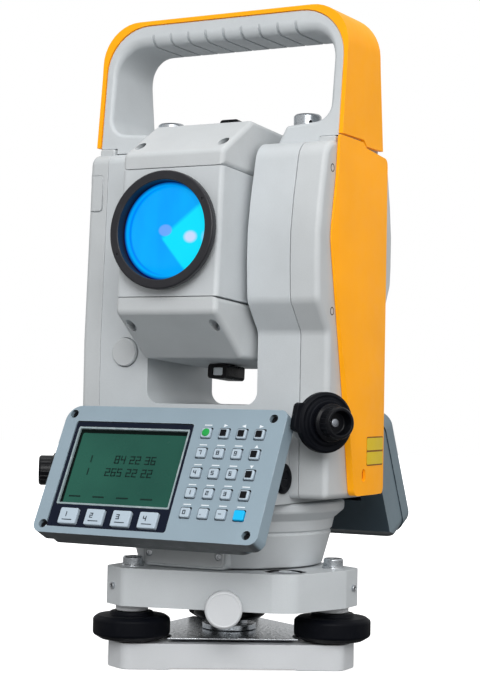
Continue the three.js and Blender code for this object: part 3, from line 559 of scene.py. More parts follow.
MATERIALS = {
    "grey_casting": painted("grey_casting", 0xc9ced1, 0.5),
    "grey_cover": painted("grey_cover", 0xc6cacc, 0.52),
    "pale_casting": painted("pale_casting", 0xd6d9dc, 0.45, grain=0.35),
    # Painted light: the orange paint glows a little (glow 0.16).
    "orange_cover": painted("orange_cover", 0xfca714, 0.42, grain=0.2, worn_and_lit_edge=0xffc050, coat=0.0, shine=0.12, glow=0.16),
    "plate_yellow": painted("plate_yellow", 0xe8c80c, 0.4, grain=0.2, worn_and_lit_edge=0xf2dc50, coat=0.1, shine=0.2),
    # Painted shade: the pocket's floor is a darker orange.
    "pocket_painted_shade": painted("pocket_painted_shade", 0xb8500a, 0.5, grain=0.2, worn_and_lit_edge=0xd0701a, coat=0.0, shine=0.1),
    "plate_edge": painted("plate_edge", 0x8f5a14, 0.5, grain=0.2, worn_and_lit_edge=0xb07a2a, coat=0.0, shine=0.2),
    # The display housings have painted shade on faces that look down or inward.
    "panel_blue_grey": painted("panel_blue_grey", 0x8ea1ad, 0.5, grain=0.4, worn_and_lit_edge=0xc6d2da, painted_shade_colour=0x454c50),
    # Painted shade: the rear housing's paint is a darker copy of the front one, also with painted shade on its downward
    # and inward faces.
    "panel_rear_painted_shade": painted("panel_rear_painted_shade", 0x74848d, 0.5, grain=0.4, worn_and_lit_edge=0x9fb0ba, painted_shade_colour=0x33414a),
    "black_plastic": moulded("black_plastic", 0x08090e, 0.3, dust=0.015, polish=0.05, shine=0.16),
    "black_rubber": moulded("black_rubber", 0x0a0c12, 0.5, pitch=1300, dust=0.015, polish=0.05, shine=0.08),
    "ring_black": moulded("ring_black", 0x1c1c22, 0.42, pitch=1500, shine=0.45),
    "bright_steel": metal("bright_steel", 0xc4c9ce, 0.26),
    "machined_steel": metal("machined_steel", 0x9a9fa6, 0.32),
    "lens_brass": metal("lens_brass", 0xc08c45, 0.3),
    "coated_lens": coated_lens(),
    "circle_glass": level_glass(),
    "lcd": display_glass(),
    "bezel_navy": moulded("bezel_navy", 0x101728, 0.3, pitch=1600, dust=0.015, polish=0.05, shine=0.1),
    "lcd_frame": painted("lcd_frame", 0x8fa0a4, 0.4, grain=0.2),
    "lcd_digits": moulded("lcd_digits", 0x0f2823, 0.5, pitch=2600, dust=0.01, polish=0.02, shine=0.1),
    # Near-black of the painted shadow strip inside the screen's frame.
    "lcd_painted_shadow": moulded("lcd_painted_shadow", 0x06110f, 0.5, pitch=2600, dust=0.01, polish=0.02, shine=0.05),
    "legend_white": painted("legend_white", 0xe6edf1, 0.5, grain=0.2),
    "legend_dark": moulded("legend_dark", 0x2a3440, 0.5, pitch=2600),
    "key_grey": moulded("key_grey", 0xb3c2ce, 0.5, pitch=1800),
    "key_green": moulded("key_green", 0x23a04a, 0.45, pitch=1800),
    "key_cyan": moulded("key_cyan", 0x12b9f2, 0.45, pitch=1800),
}


# ---------- tribrach ----------
SCREW_ANGLES = {"rear": 90, "front_left": 210, "front_right": 330}


def polar(radius, degrees):
    return radius * math.cos(math.radians(degrees)), radius * math.sin(math.radians(degrees))


def lobe_corners(degrees, margin, end, radius):
    """Two corners of the blunt end that a tribrach plate has round one foot screw."""
    reach = SCREW_CIRCLE + end
    half = (SCREW_CIRCLE + 2 * margin - reach) * math.tan(math.radians(30))
    x, y = polar(reach, degrees)
    tx, ty = polar(half, degrees + 90)
    return [(x - tx, y - ty, radius), (x + tx, y + ty, radius)]


def blunt_triangle(margin, end, radius, nose=()):
    corners = []
    for name, degrees in SCREW_ANGLES.items():
        corners += lobe_corners(degrees, margin, end, radius)
        if name == "front_left":
            corners += list(nose)
    return corners


def base_plate():
    plate = prism(blunt_triangle(12, 9.5, 6), 0, 12.9)
    relief = turned(rod(52, -1, 0.8))
    hole = turned(rod(9.6, -2, 14))
    plate = cut(plate, relief, hole)

    def rule(middle, normals):
        return 1.8 if middle.z < 1 and middle.xy.length > 54 else None
    return soften(plate, 0.9, rule)


def tribrach_casting():
    nose = [(17, -65.2, 4.5), (28, -66, 9)]
    deck = prism(blunt_triangle(12.6, 11, 5.5, nose), BODY_BOTTOM, BODY_TOP)
    places = [polar(SCREW_CIRCLE, degrees) for degrees in SCREW_ANGLES.values()]
    bores = [turned(rod(5.4, 27, 48), at=(*p, 0)) for p in places]
    seat = turned(rod(10.6, 44, 52), at=LEVEL_PLACE)
    neck = turned(rod(16.3, 27, 52))
    knob_bore = turned(rod(3.3, 49, 73), "-Y", at=(KNOB_X, 0, KNOB_Z))
    deck = cut(deck, *bores, seat, neck, knob_bore)

    def rule(middle, normals):
        near_bore = any((middle.xy - Vector(p)).length < 6.5 for p in places)
        round_seat = (middle.xy - LEVEL_PLACE.xy).length < 11
        inside = near_bore or round_seat or middle.xy.length < 17
        if inside or abs(middle.x - KNOB_X) < 4 and middle.z < 38 and abs(middle.y) < 64:
            return 0.3
        return 1.7 if middle.z > BODY_TOP - 1 else 1.2
    return soften(deck, 0.8, rule, 4)


KNOB_X, KNOB_Z = -6.4, 33.1
LEVEL_PLACE = Vector((24.7, -50, 0))


def foot_screw(name, degrees):
    wheel = turned([
        (0, 14.2), (13.5, 14.2, 0.8), (15.5, 14.2, 1), (19.5, 16.6, 1.8), (19.5, 24.4, 1.8), (17.2, 26, 1.2),
        (11.4, 26.4, 0.6), (10.6, 27.9, 0.5), (5, 27.9), (5, 47.2, 0.5), (0, 47.2),
    ])
    place = TRIBRACH @ Matrix.Translation((*polar(SCREW_CIRCLE, degrees), 0))
    body = f"foot_screw_{name}"
    piece(f"{body}_wheel", wheel, body, "black_rubber", place, [body])
    tip = turned([(0, 12.95), (2.4, 12.95, 0.4), (4.6, 13.5, 0.4), (4.6, 14.15), (0, 14.15)], segments=40)
    piece(f"{body}_tip", tip, body, "lens_brass", place)


def foot_collar(name, degrees):
    place = TRIBRACH @ Matrix.Translation((*polar(SCREW_CIRCLE, degrees), 0))
    collar = turned([(5.4, 28.2, 0.2), (8.15, 28.2, 0.7), (8.15, 31.6), (5.4, 31.6)])
    piece(f"foot_collar_{name}", collar, "tribrach", "pale_casting", place)
    cap = turned([
        (0, 50.2), (5.6, 50.2), (5.6, 51, 0.3), (5, 51.3, 0.2), (5, 54.7, 0.3), (4.5, 55.5, 0.5), (2.2, 55.5, 0.2),
        (1.9, 54.9, 0.2), (0, 54.9),
    ])
    piece(f"foot_cap_{name}", cap, "tribrach", "bright_steel", place)


def set_screw(name, x, y, degrees, height=41):
    """Small socket screw in a side of the tribrach, seen from outside along its axis."""
    head = turned([(0.9, -2), (1.7, -2), (1.7, 0.15, 0.25), (0.9, 0.15, 0.2)], "X", segments=24)
    socket = turned([(0, -2), (1, -2), (1, -0.6), (0, -0.6)], "X", segments=6)
    place = TRIBRACH @ Matrix.Translation((x, y, height)) @ Matrix.Rotation(math.radians(degrees), 4, "Z")
    piece(f"set_screw_{name}", head, "tribrach", "bright_steel", place)
    piece(f"set_screw_{name}_socket", socket, "tribrach", "black_plastic", place)


def level():
    cup = turned([
        (0, 44.2), (10.3, 44.2), (10.3, 50, 0.4), (8.9, 50.5, 0.3), (8.7, 49.4), (0, 49.4),
    ])
    glass = turned([(0, 49.2), (8.6, 49.2), (8.6, 49.7), (5, 50.4), (0, 50.6)])
    ring = turned(tube(2.9, 3.3, 50.42, 50.62, 0.05))
    place = TRIBRACH @ Matrix.Translation(LEVEL_PLACE)
    piece("level_cup", cup, "tribrach", "black_plastic", place, ["circular_level"])
    piece("level_glass", glass, "tribrach", "circle_glass", place)
    piece("level_ring", ring, "tribrach", "legend_white", place)


def lock_knob():
    disc = turned([
        (0, 50), (3, 50), (3, 61.4), (8.2, 61.4, 0.4), (9.2, 62.2, 0.6), (9.2, 66.6, 0.9), (8.2, 67.6, 0.6),
        (7.6, 67.3, 0.4), (0, 67.3),
    ], "-Y")
    place = TRIBRACH @ Matrix.Translation((KNOB_X, 0, KNOB_Z))
    piece("lock_knob_disc", disc, "tribrach_lock_knob", "pale_casting", place, ["tribrach_lock_knob"])
    shank = prism(box(KNOB_X - 5, 28.4, KNOB_X + 5, 40, 3), -57, -28, "Y")
    shank = soften(cut(shank, turned(rod(3.3, 27, 73), "-Y", at=(KNOB_X, 0, KNOB_Z))), 0.5)
    piece("lock_knob_boss", shank, "tribrach", "grey_casting", TRIBRACH)


def spring_plate():
    plate = prism(blunt_triangle(9.2, 8.6, 4), 14.7, 15.5)
    holes = [
        turned(rod(20.3, 14, 16), at=(*polar(SCREW_CIRCLE, degrees), 0)) for degrees in SCREW_ANGLES.values()
    ]
    return soften(cut(plate, *holes, turned(rod(12, 14, 16))), 0.25)


def tribrach():
    piece("base_plate_casting", base_plate(), "tribrach", "pale_casting", TRIBRACH, ["tribrach_base_plate"])
    piece("tribrach_casting", tribrach_casting(), "tribrach", "grey_casting", TRIBRACH, ["tribrach_body"])
    piece("spring_sheet", spring_plate(), "tribrach", "bright_steel", TRIBRACH, ["spring_plate"])
    ring = turned([(12, 13.2), (33, 13.2, 0.3), (34, 13.6, 0.3), (34, 14.4, 0.3), (30, 14.4, 0.2), (29.4, 14), (12, 14)])
    piece("clamping_disc", ring, "tribrach", "black_plastic", TRIBRACH, ["clamping_ring"])
    bush = turned([
        (7.2, 1.2, 0.3), (9.2, 1.2, 0.3), (9.2, 15.8), (14, 15.8, 0.3), (14, 18.6, 0.4), (9.4, 18.6, 0.3), (9.4, 21.2, 0.3),
        (7.2, 21.2, 0.3),
    ])
    piece("tripod_bush", bush, "tribrach", "bright_steel", TRIBRACH, ["tripod_screw_bush"])
    hub = turned([
        (10, 21.5), (16, 21.5, 0.6), (18.6, 23.2, 0.8), (18.6, 27.2, 0.6), (26, 28.2, 1), (26, 31.2), (16, 31.2), (16, 54.6),
        (10, 54.6),
    ])
    piece("bearing_hub", hub, "tribrach", "black_plastic", TRIBRACH, ["axis_bearing"])
    level()
    lock_knob()
    for name, degrees in SCREW_ANGLES.items():
        foot_screw(name, degrees)
        foot_collar(name, degrees)
    set_screw("front", -49, -43.9, -103)
    set_screw("left", -61.4, -35.4, 210)
    set_screw("right", 61.4, -35.4, 330)


# ---------- alidade base ----------
def bowl():
    cup = turned([
        (0, 51.2), (48, 51.2, 1.2), (52.5, 67.8, 0.5), (51.8, 68.3, 0.2), (51.8, 69, 0.2), (52.9, 69.8, 0.4), (54, 75, 1.5),
        (58.8, 79.2, 1), (59.2, 80.2, 0.5), (59.2, 83.2, 0.8), (58.2, RIM, 0.4), (0, RIM),
    ], segments=144)
    hollow = turned([(0, 50), (41, 50), (41, 62), (0, 62)])
    shelf = prism(box(-23.6, 50, 23.6, 63.2), -60, -46.6, "Y")
    return cut(cup, hollow, shelf)


def screwed_plate():
    frame_block = soften(prism(box(-24, 50.8, 24, 65, 3.2), -47.6, -42, "Y"), 0.6)
    piece("connector_frame", frame_block, "alidade", "grey_casting")
    plate = soften(prism(box(-22.8, 52, 22.8, 64.6, 2.6), -48.7, -46.5, "Y"), 0.5)
    holes = [turned(rod(2, 47.9, 50), "-Y", at=(side * 20, 0, 57.4)) for side in (-1, 1)]
    piece("connector_plate", cut(plate, *holes), "alidade", "grey_cover")
    for side, name in ((-1, "left"), (1, "right")):
        head = turned([(0, 47.6), (1.8, 47.6), (1.8, 48.5, 0.3), (0.7, 48.6, 0.1), (0.7, 48.2), (0, 48.2)], "-Y",
                      at=(side * 20, 0, 57.4), segments=24)
        piece(f"connector_screw_{name}", head, "alidade", "bright_steel")


# ---------- standards ----------
LEFT_PROFILE = mirrored([(ARM_FRONT, ARM_BOTTOM, 3), (ARM_FRONT, 165), (ARM_FRONT - 4.5, ARM_TOP, 6)])


RIGHT_PROFILE = two_sided([
    (ARM_FRONT, ARM_BOTTOM, 3), (ARM_FRONT, 182, 6), (BULGE_REAR - 2, 196, 8), (BULGE_REAR, 222, 120), (34.5, ARM_TOP, 12),
], [
    (ARM_FRONT, ARM_BOTTOM, 3), (ARM_FRONT, 169, 6), (BULGE_FRONT - 2, 184, 8), (BULGE_FRONT, 218, 120), (38, ARM_TOP, 12),
])


def yoke():
    low, high = SEAMS
    left = prism(LEFT_PROFILE, low, 50, "X")
    right = prism(RIGHT_PROFILE, ARM_INNER, high, "X")
    throat = prism([
        (-ARM_INNER, DECK_TOP, 7), (ARM_INNER, DECK_TOP, 7), (ARM_INNER, 300), (-ARM_INNER, 300),
    ], -60, 60, "Y")
    skirt = prism(box(-52, 80, 52, RIM + GAP), -60, 60, "Y")
    neck = prism(mirrored([(59.4, RIM + GAP), (43.4, 116)]), -51, 51, "X")
    bore = turned(rod(10, low - 1, high + 1), "X", at=(0, 0, TRUNNION.z), segments=48)
    seat = turned(rod(7.8, 30, 40), "-Y", at=(-46, 0, 158.8), segments=48)
    holes = [turned(rod(3.4, 250, 270), at=(side * HANDLE_SCREW, 0, 0), segments=24) for side in (-1, 1)]
    sweep = turned(rod(RING_SWEEP, -26, 26), "X", at=(0, 0, TRUNNION.z), segments=180)
    body = cut(joined(cut(left, throat, skirt), right, neck), sweep)
    body = cut(body, bore, seat, *holes)

    def rule(middle, normals):
        seam = min(abs(middle.x - low), abs(middle.x - high)) < 0.2
        if seam or abs(middle.z - 158.8) < 9 and middle.x < -37 and middle.y < -30:
            return 0.35
        if (middle.yz - TRUNNION.yz).length < 12 or middle.z < DECK_TOP - 2:
            return 0.5
        if abs(middle.y) > 20 and middle.z > DECK_TOP - 1:
            return 6.5 if middle.x > 30 and middle.z > 176 else 3
        return 1.5 if middle.z > ARM_TOP - 2 and abs(abs(middle.x) - HANDLE_SCREW) > 5 else 0.4
    return soften(body, 0.5, rule, 4)


def side_cover(side, profile):
    """Grey cover of a standard: flat against the yoke at its seam, widely rounded on its outer edges."""
    seam = side * (abs(SEAMS[side > 0]) + GAP)
    outer = SIDE if side > 0 else -LEFT_FACE
    shell = prism(profile, min(seam, outer), max(seam, outer), "X")

    def rule(middle, normals):
        return 3.4 if abs(middle.x - outer) < 0.2 else 0.35
    return soften(shell, 0.5, rule, 5)


def cover_top(side):
    """Raised strip on top of a cover, under the handle's foot."""
    inner, outer = side * 60.5, side * (SIDE - 2)
    strip = prism(box(min(inner, outer), 258, max(inner, outer), COVER_TOP, 1.2), -26, 26, "Y")
    return soften(strip, 0.8)


def sunk_screw(name, x, y, z, direction, body="alidade", place=WORLD, radius=1.6):
    """Dark counterbore ring with a small screw head in it, standing just proud of a cover."""
    ring = turned([(0, -0.6), (radius + 0.5, -0.6), (radius + 0.5, 0.06), (radius, 0.06), (radius - 0.1, -0.4), (0, -0.4)],
                  "X", segments=28)
    turn = Vector((1, 0, 0)).rotation_difference(Vector(direction).normalized()).to_matrix().to_4x4()
    piece(f"{name}_recess", ring, body, "black_plastic", place @ Matrix.Translation((x, y, z)) @ turn)
    head = turned([(0, -0.55), (radius - 0.3, -0.55), (radius - 0.3, -0.15, 0.15), (0.5, -0.1), (0.5, -0.3), (0, -0.3)],
                  "X", segments=20)
    piece(f"{name}_head", head, body, "machined_steel", place @ Matrix.Translation((x, y, z)) @ turn)


def covers():
    piece("right_cover_shell", side_cover(1, RIGHT_PROFILE), "alidade", "grey_cover", WORLD, ["right_cover"])
    latch_line = cut(
        prism(box(-80, 233, -64, 253, 2), -40, -29.7, "Y"), prism(box(-90, 234, -65, 252, 1.5), -50, -20, "Y"),
    )
    left = cut(side_cover(-1, LEFT_PROFILE), latch_line)
    piece("left_cover_shell", left, "alidade", "grey_cover", WORLD, ["left_cover"])
    sunk_screw("right_cover_screw_upper", SIDE, -33, 250, (1, 0, 0))
    sunk_screw("right_cover_screw_lower", SIDE, -31, 179.5, (1, 0, 0))
    for side, name in ((-1, "left"), (1, "right")):
        piece(f"{name}_cover_top", cover_top(side), "alidade", "grey_cover")
    for name, x, joint, place in (("right", 1, "elevation", RIGHT_KNOB), ("left", -1, "azimuth", LEFT_KNOB)):
        boss = turned([(0, -20), (9.6, -20), (9.6, -5, 0.8), (8.8, -4.1, 0.5), (0, -4.1)], "X")
        seam = SEAMS[x > 0]
        keep = prism(box(-80, 60, 80, 160), min(seam + x * GAP, x * 95), max(seam + x * GAP, x * 95), "X")
        boss.data.transform(scaled(place))
        piece(f"{name}_knob_boss", common(boss, keep), "alidade", "grey_cover")


def scaled(place):
    scale = Matrix.Diagonal((MM, MM, MM, 1))
    return scale @ place @ scale.inverted()


RIGHT_PANEL = [
    (29.5, ARM_BOTTOM + 1, 4), (29.5, 262, 3), (4, 264.4, 1), (0, 267, 1), (-28, 267.4, 2), (-30, 246),
    (-35.5, 216, 30), (-26, 171), (-18.5, 136), (-10, ARM_BOTTOM + 1, 4),
]
CROWN = 190


def crown(face, proud=0.0):
    """Large upright cylinder whose surface is the crowned face of the right panel, or stands proud of it."""
    return turned(rod(CROWN + proud, 80, 280), at=(face - CROWN, 0, 0), segments=720)


def right_panel():
    """Orange panel, crowned outward with soft edges and an oval pocket near its foot."""
    plate = prism(RIGHT_PANEL, SIDE + GAP, PANEL_OUT, "X")
    slope = prism([
        (60, 80), (PANEL_OUT + 1, 80), (PANEL_OUT + 1, 200, 150), (72.9, 268), (60, 268),
    ], -40, 40, "Y")

    def rule(middle, normals):
        return 0.3 if abs(middle.x) < SIDE + 1 else 1.8
    panel = soften(common(plate, crown(PANEL_OUT), slope), 0.5, rule, 4)
    pocket = prism(box(-2, 95, 2.4, 101.4, 2.1), PANEL_OUT - 2, PANEL_OUT + 2, "X")
    return cut(panel, pocket)


def blank_plate(low, high, proud):
    """Thin plate that follows the crown of the right panel, between two heights."""
    sheet = common(prism(box(PLATE_FRONT, low, 27.5, high, 1), 70, 80, "X"), crown(PANEL_OUT, proud))
    return cut(sheet, crown(PANEL_OUT, -0.3))


PLATE_FRONT = 3.4


def left_panel():
    """Grey surround of the battery, crowned the same way."""
    plate = prism(box(-26, ARM_BOTTOM + 5, 26, 258, 5), SIDE + 2, LEFT_PANEL_OUT, "X")
    panel = common(plate, crown(LEFT_PANEL_OUT))
    mirror(panel)
    window = prism(box(-20.6, 127.4, 20.6, 236.6, 4), -90, -60, "X")
    back = prism(box(-60, 60, 60, 280), -LEFT_FACE - GAP, 0, "X")

    def rule(middle, normals):
        return 1.4 if middle.x < -LEFT_FACE - 1 else 0.3
    return soften(cut(panel, window, back), 0.5, rule, 4)


def mirror(obj):
    obj.data.transform(Matrix.Diagonal((-1, 1, 1, 1)))
    obj.data.flip_normals()


def battery():
    face = -LEFT_FACE - 4
    pack = prism(box(-20, 128, 20, 236, 3.6), face, SEAMS[0] - 1, "X")
    seat = prism(box(-8.3, 214.6, 8.3, 233.3, 2), face - 2, face + 2.8, "X")
    grips = [prism(box(-17, 150 + 5 * i, 17, 151.6 + 5 * i, 0.7), face - 2, face + 0.8, "X") for i in range(5)]

    def rule(middle, normals):
        return 1.2 if abs(middle.x - face) < 0.2 and not (212 < middle.z < 235 or 149 < middle.z < 173) else None
    return soften(cut(pack, seat, *grips), 0.4, rule)


def battery_latch():
    face = -LEFT_FACE - 5
    tab = prism(box(-8, 219, 8, 233, 1.8), face, face + 3.5, "X")
    ribs = [prism(box(-6, 222 + 2.6 * i, 6, 223 + 2.6 * i), face - 2, face + 0.5, "X") for i in range(4)]
    return soften(cut(tab, *ribs), 0.35)


def side_panels():
    piece("right_orange_panel", right_panel(), "alidade", "orange_cover", WORLD, ["right_side_panel"])
    piece("right_panel_plate_edge", blank_plate(102.8, 117.6, 0.1), "alidade", "plate_edge")
    piece("right_panel_plate_lower", blank_plate(103.5, 109.8, 0.16), "alidade", "plate_yellow")
    piece("right_panel_plate_upper", blank_plate(110.7, 116.9, 0.16), "alidade", "plate_yellow")
    # Painted shade in the recess: a darker orange floor for the oval pocket.
    pocket = prism(box(-2, 95, 2.4, 101.4, 2.1), PANEL_OUT - 2.1, PANEL_OUT - 1.6, "X")
    piece("right_panel_pocket", pocket, "alidade", "pocket_painted_shade")
    piece("left_battery_surround", left_panel(), "alidade", "grey_cover", WORLD, ["left_side_panel"])
    piece("battery_case", battery(), "battery_pack", "grey_cover", WORLD, ["battery_pack"])
    piece("battery_latch_tab", battery_latch(), "battery_latch", "black_plastic", WORLD, ["battery_latch"])


# ---------- handle ----------
def arch(half, top, radius, inner_half, inner_top, inner_radius, bottom):
    return [
        (inner_half, bottom), (half, bottom), (half, top, radius), (-half, top, radius), (-half, bottom),
        (-inner_half, bottom), (-inner_half, inner_top, inner_radius), (inner_half, inner_top, inner_radius),
    ]


def handle_depth(inset):
    return mirrored([(25 - inset, 260), (20 - inset, 306, 40), (17.5 - inset, HANDLE_TOP + 1 - inset, 2.2)])


OPENING_HALF, OPENING_TOP, OPENING_RADIUS, FOOT_TOP, FOOT_END = 64.8, 322.4, 15, 274, 37


def handle_grip():
    step = SKIN + GAP
    half, top, corner = HANDLE_HALF - step, HANDLE_TOP - step, SEAM_RADIUS - GAP
    outline = [
        (60, 264.6), (60, COVER_TOP + GAP), (half, COVER_TOP + GAP), (half, top, corner), (-half, top, corner),
        (-half, COVER_TOP + GAP), (-60, COVER_TOP + GAP), (-60, 264.6), (-FOOT_END + 1, 264.6),
        (-FOOT_END - 3.5, FOOT_TOP, 2), (-OPENING_HALF, FOOT_TOP + 2, 9), (-OPENING_HALF, OPENING_TOP, OPENING_RADIUS),
        (OPENING_HALF, OPENING_TOP, OPENING_RADIUS), (OPENING_HALF, FOOT_TOP + 2, 9), (FOOT_END + 3.5, FOOT_TOP, 2),
        (FOOT_END - 1, 264.6),
    ]
    band = common(prism(outline, -30, 30, "Y"), prism(handle_depth(0), -80, 80, "X"))

    def rule(middle, normals):
        if middle.z < COVER_TOP + 1:
            return 0.3
        if abs(middle.x) > OPENING_HALF + 0.2 or middle.z > OPENING_TOP + 0.2:
            return 0.8
        share = min(1, max(0, (middle.z - 310) / 12))
        return 2.2 + 3.4 * share
    band = soften(band, 0.5, rule, 6, clamp=False)
    holes = [turned(rod(3.4, 250, 280), at=(side * HANDLE_SCREW, 0, 0), segments=24) for side in (-1, 1)]
    return cut(band, *holes, *finger_grooves())


def finger_grooves():
    """Cutters of the thin finger grooves that wrap round the underside of the grip."""
    pitch, half_width = 10.6, 0.8
    half, depth, end = 18.3, 1.3, OPENING_TOP + 8
    section = [
        (-30, OPENING_TOP - 8), (30, OPENING_TOP - 8), (30, end), (half, end), (half, OPENING_TOP + depth, 6.2),
        (-half, OPENING_TOP + depth, 6.2), (-half, end), (-30, end),
    ]
    return [prism(section, i * pitch - half_width, i * pitch + half_width, "X") for i in range(-4, 5)]


def handle_skin():
    outer = arch(HANDLE_HALF, HANDLE_TOP, HANDLE_RADIUS, HANDLE_HALF - SKIN, HANDLE_TOP - SKIN, SEAM_RADIUS, 265)
    band = common(prism(outer, -30, 30, "Y"), prism(handle_depth(-0.4), -80, 80, "X"))
    low = COVER_TOP + 1.2
    front = prism([(-40, 260), (40, 260), (40, 265.5), (4.5, 265.5), (1, low), (-40, low)], -90, 90, "X")
    band = cut(band, front)

    def rule(middle, normals):
        inner = abs(middle.x) < HANDLE_HALF - SKIN + 0.1 and middle.z < HANDLE_TOP - SKIN + 0.1
        return 0.25 if inner or middle.z < 269 else 1.6
    return soften(band, 0.5, rule, 4)


HOLE_ANGLE = math.radians(38)


def handle_screw(side, name):
    knob = turned([
        (0, 256), (3, 256), (3, 273.6), (6.6, 273.6), (7.2, 274.4, 0.4), (7.2, 282, 1), (6.2, 283, 0.6), (0, 283),
    ], at=(side * HANDLE_SCREW, 0, 0))
    hole = turned(rod(0.9, 5, 9), "-Y", at=(0, 0, 278.4), segments=20)
    plug = turned([(0, 5), (0.85, 5), (0.85, 6.9), (0, 6.9)], "-Y", at=(0, 0, 278.4), segments=20)
    for shape in (hole, plug):
        shape.data.transform(scaled(about_z(HOLE_ANGLE, (side * HANDLE_SCREW, 0, 0))))
    body = f"handle_screw_{name}"
    piece(f"{body}_knob", cut(knob, hole), body, "bright_steel", WORLD, [body])
    piece(f"{body}_hole", plug, body, "black_plastic")


def handle():
    piece("handle_grip_shell", handle_grip(), "alidade", "grey_casting", WORLD, ["handle_grip"])
    piece("handle_orange_skin", handle_skin(), "alidade", "orange_cover", WORLD, ["handle_skin"])
    handle_screw(-1, "left")
    handle_screw(1, "right")


# ---------- caps ----------
def caps():
    plug = turned([(0, 30.6), (7.4, 30.6), (7.4, 35.2, 0.5), (6.8, 35.9, 0.4), (0, 36)], "-Y", at=(-46, 0, 158.8))
    piece("plug_cap_disc", plug, "alidade", "grey_cover", WORLD, ["plug_cap"])
    low, high = extent("port_cap")
    middle = (low + high) / 2
    cap = turned([
        (0, low.x), (7.5, low.x), (7.5, low.x + 1.2, 0.5), (6.2, high.x + 0.2, 0.5), (4.6, high.x, 0.4), (3.8, high.x - 0.7, 0.3),
        (0, high.x - 0.7),
    ], "X", at=(0, middle.y, middle.z))
    slit = prism(box(middle.y - 3, middle.z - 0.4, middle.y + 3, middle.z + 0.4), high.x - 1.4, high.x + 2, "X")
    piece("port_cap_rubber", cut(cap, slit), "alidade", "black_rubber", WORLD, ["port_cap"])


# ---------- knobs ----------
def knob_pair(place, clamp, tangent, lever_degrees):
    ring = turned([
        (4.4, -3.8), (13.2, -3.8, 0.5), (14.8, -2.4, 0.8), (14.8, 1.4, 0.9), (13.4, 2.4, 0.5), (12.6, 2, 0.3), (11.8, 2, 0.3),
        (11.2, 2.6, 0.3), (10.6, 4, 0.5), (4.4, 4),
    ], "X")
    arm = prism([(9, -8, 1), (17, -6.6, 2.4), (17, 6.6, 2.4), (9, 8, 1)], -3.4, 1, "X")
    arm.data.transform(Matrix.Rotation(math.radians(lever_degrees), 4, "X"))
    arm = soften(cut(arm, turned(rod(10, -7, 5), "X")), 0.9)
    piece(f"{clamp}_ring", joined(ring, arm), clamp, "black_rubber", place, [clamp])
    flutes = [
        turned(rod(0.5, 8.6, 14), "X", at=(0, 8.1 * math.cos(a), 8.1 * math.sin(a)), segments=10)
        for a in (math.tau * k / 20 for k in range(20))
    ]
    knob = turned([
        (0, -3.8), (4, -3.8), (4, 4.4), (9.2, 4.4, 0.5), (9.2, 7, 0.6), (7.8, 7.8, 0.3), (7.8, 14, 0.6), (7, 15, 0.5),
        (5.9, 15, 0.4), (5.4, 9.2, 0.8), (0, 9.2),
    ], "X")
    piece(f"{tangent}_grip", cut(knob, *flutes), tangent, "black_plastic", place, [tangent])
    centre = turned([(0, 8.6), (2.2, 8.6), (2.2, 9.8, 0.5), (0, 9.9)], "X", segments=32)
    piece(f"{tangent}_centre", centre, tangent, "machined_steel", place)


# ---------- telescope ----------
SHELL = [
    (-TUBE_FRONT, SPLIT + GAP), (TUBE_REAR - 4, SPLIT + GAP), (TUBE_REAR - 4, 42, 3), (26, 60, 5), (-40.5, 60, 3.5),
    (-TUBE_FRONT, 40, 4),
]
COVER_SCREWS = ((-24, 45.5), (24, 45.5))


def telescope_cover():
    shell = prism(SHELL, -TUBE_HALF, TUBE_HALF, "X")
    slot = turned(rod(2.4, 55, 62), segments=24)
    recesses = [turned(rod(2.5, 54.5, 80), "-Y", at=(x, 0, z), segments=32) for x, z in COVER_SCREWS]

    def rule(middle, normals):
        if middle.z < SPLIT + 1:
            return 0.3 if abs(middle.x) < TUBE_HALF - 4 or abs(normals[0].z) > 0.9 else 2.6
        return 2.6 if abs(abs(middle.x) - TUBE_HALF) < 0.3 else 1.6
    return cut(soften(shell, 0.5, rule, 5), slot, *recesses)


def telescope_body():
    outline = box(-TUBE_HALF, -TUBE_FRONT, TUBE_HALF, TUBE_REAR - 4, 2.6)
    block = soften(prism(outline, -SPLIT, SPLIT), 0.3)
    collar = turned([(0, -61.6), (14.05, -61.6), (14.05, -50), (20, -50, 1.2), (22, -40), (0, -40)], "-Y")
    mouth = turned(rod(26.4, 54, 80), "-Y")
    cone = turned([(0, -10), (15, -10), (15, 20), (23, 60), (0, 60)], "-Y")
    bore = turned(rod(13, -64, 0), "-Y")
    return cut(joined(block, collar), mouth, cone, bore)


def objective():
    ring = turned([
        (24.7, 55), (26, 55), (26, TUBE_FRONT + GAP), (27, TUBE_FRONT + GAP, 0.2), (27, 73.2, 0.5), (29.4, 73.2, 0.5),
        (29.4, RING_FRONT, 0.9), (24.7, RING_FRONT, 0.5),
    ], "-Y", segments=128)
    notches = []
    for degrees in (32, 206):
        a = math.radians(degrees)
        notches.append(turned(rod(0.9, 76.4, 79), "-Y", at=(27 * math.cos(a), 0, 27 * math.sin(a)), segments=16))
    piece("objective_bezel", cut(ring, *notches), "telescope", "ring_black", TELESCOPE, ["objective_ring"])
    crown = [(0, 62), (24.3, 65), (24.3, 71.2)]
    for share in (0.85, 0.7, 0.55, 0.4, 0.2):
        crown.append((24.3 * share, 71.2 + 2.4 * math.sqrt(1 - share)))
    crown.append((0, 73.6))
    lens = turned(crown, "-Y", segments=128)
    piece("objective_glass", lens, "telescope", "coated_lens", TELESCOPE, ["objective_lens"])


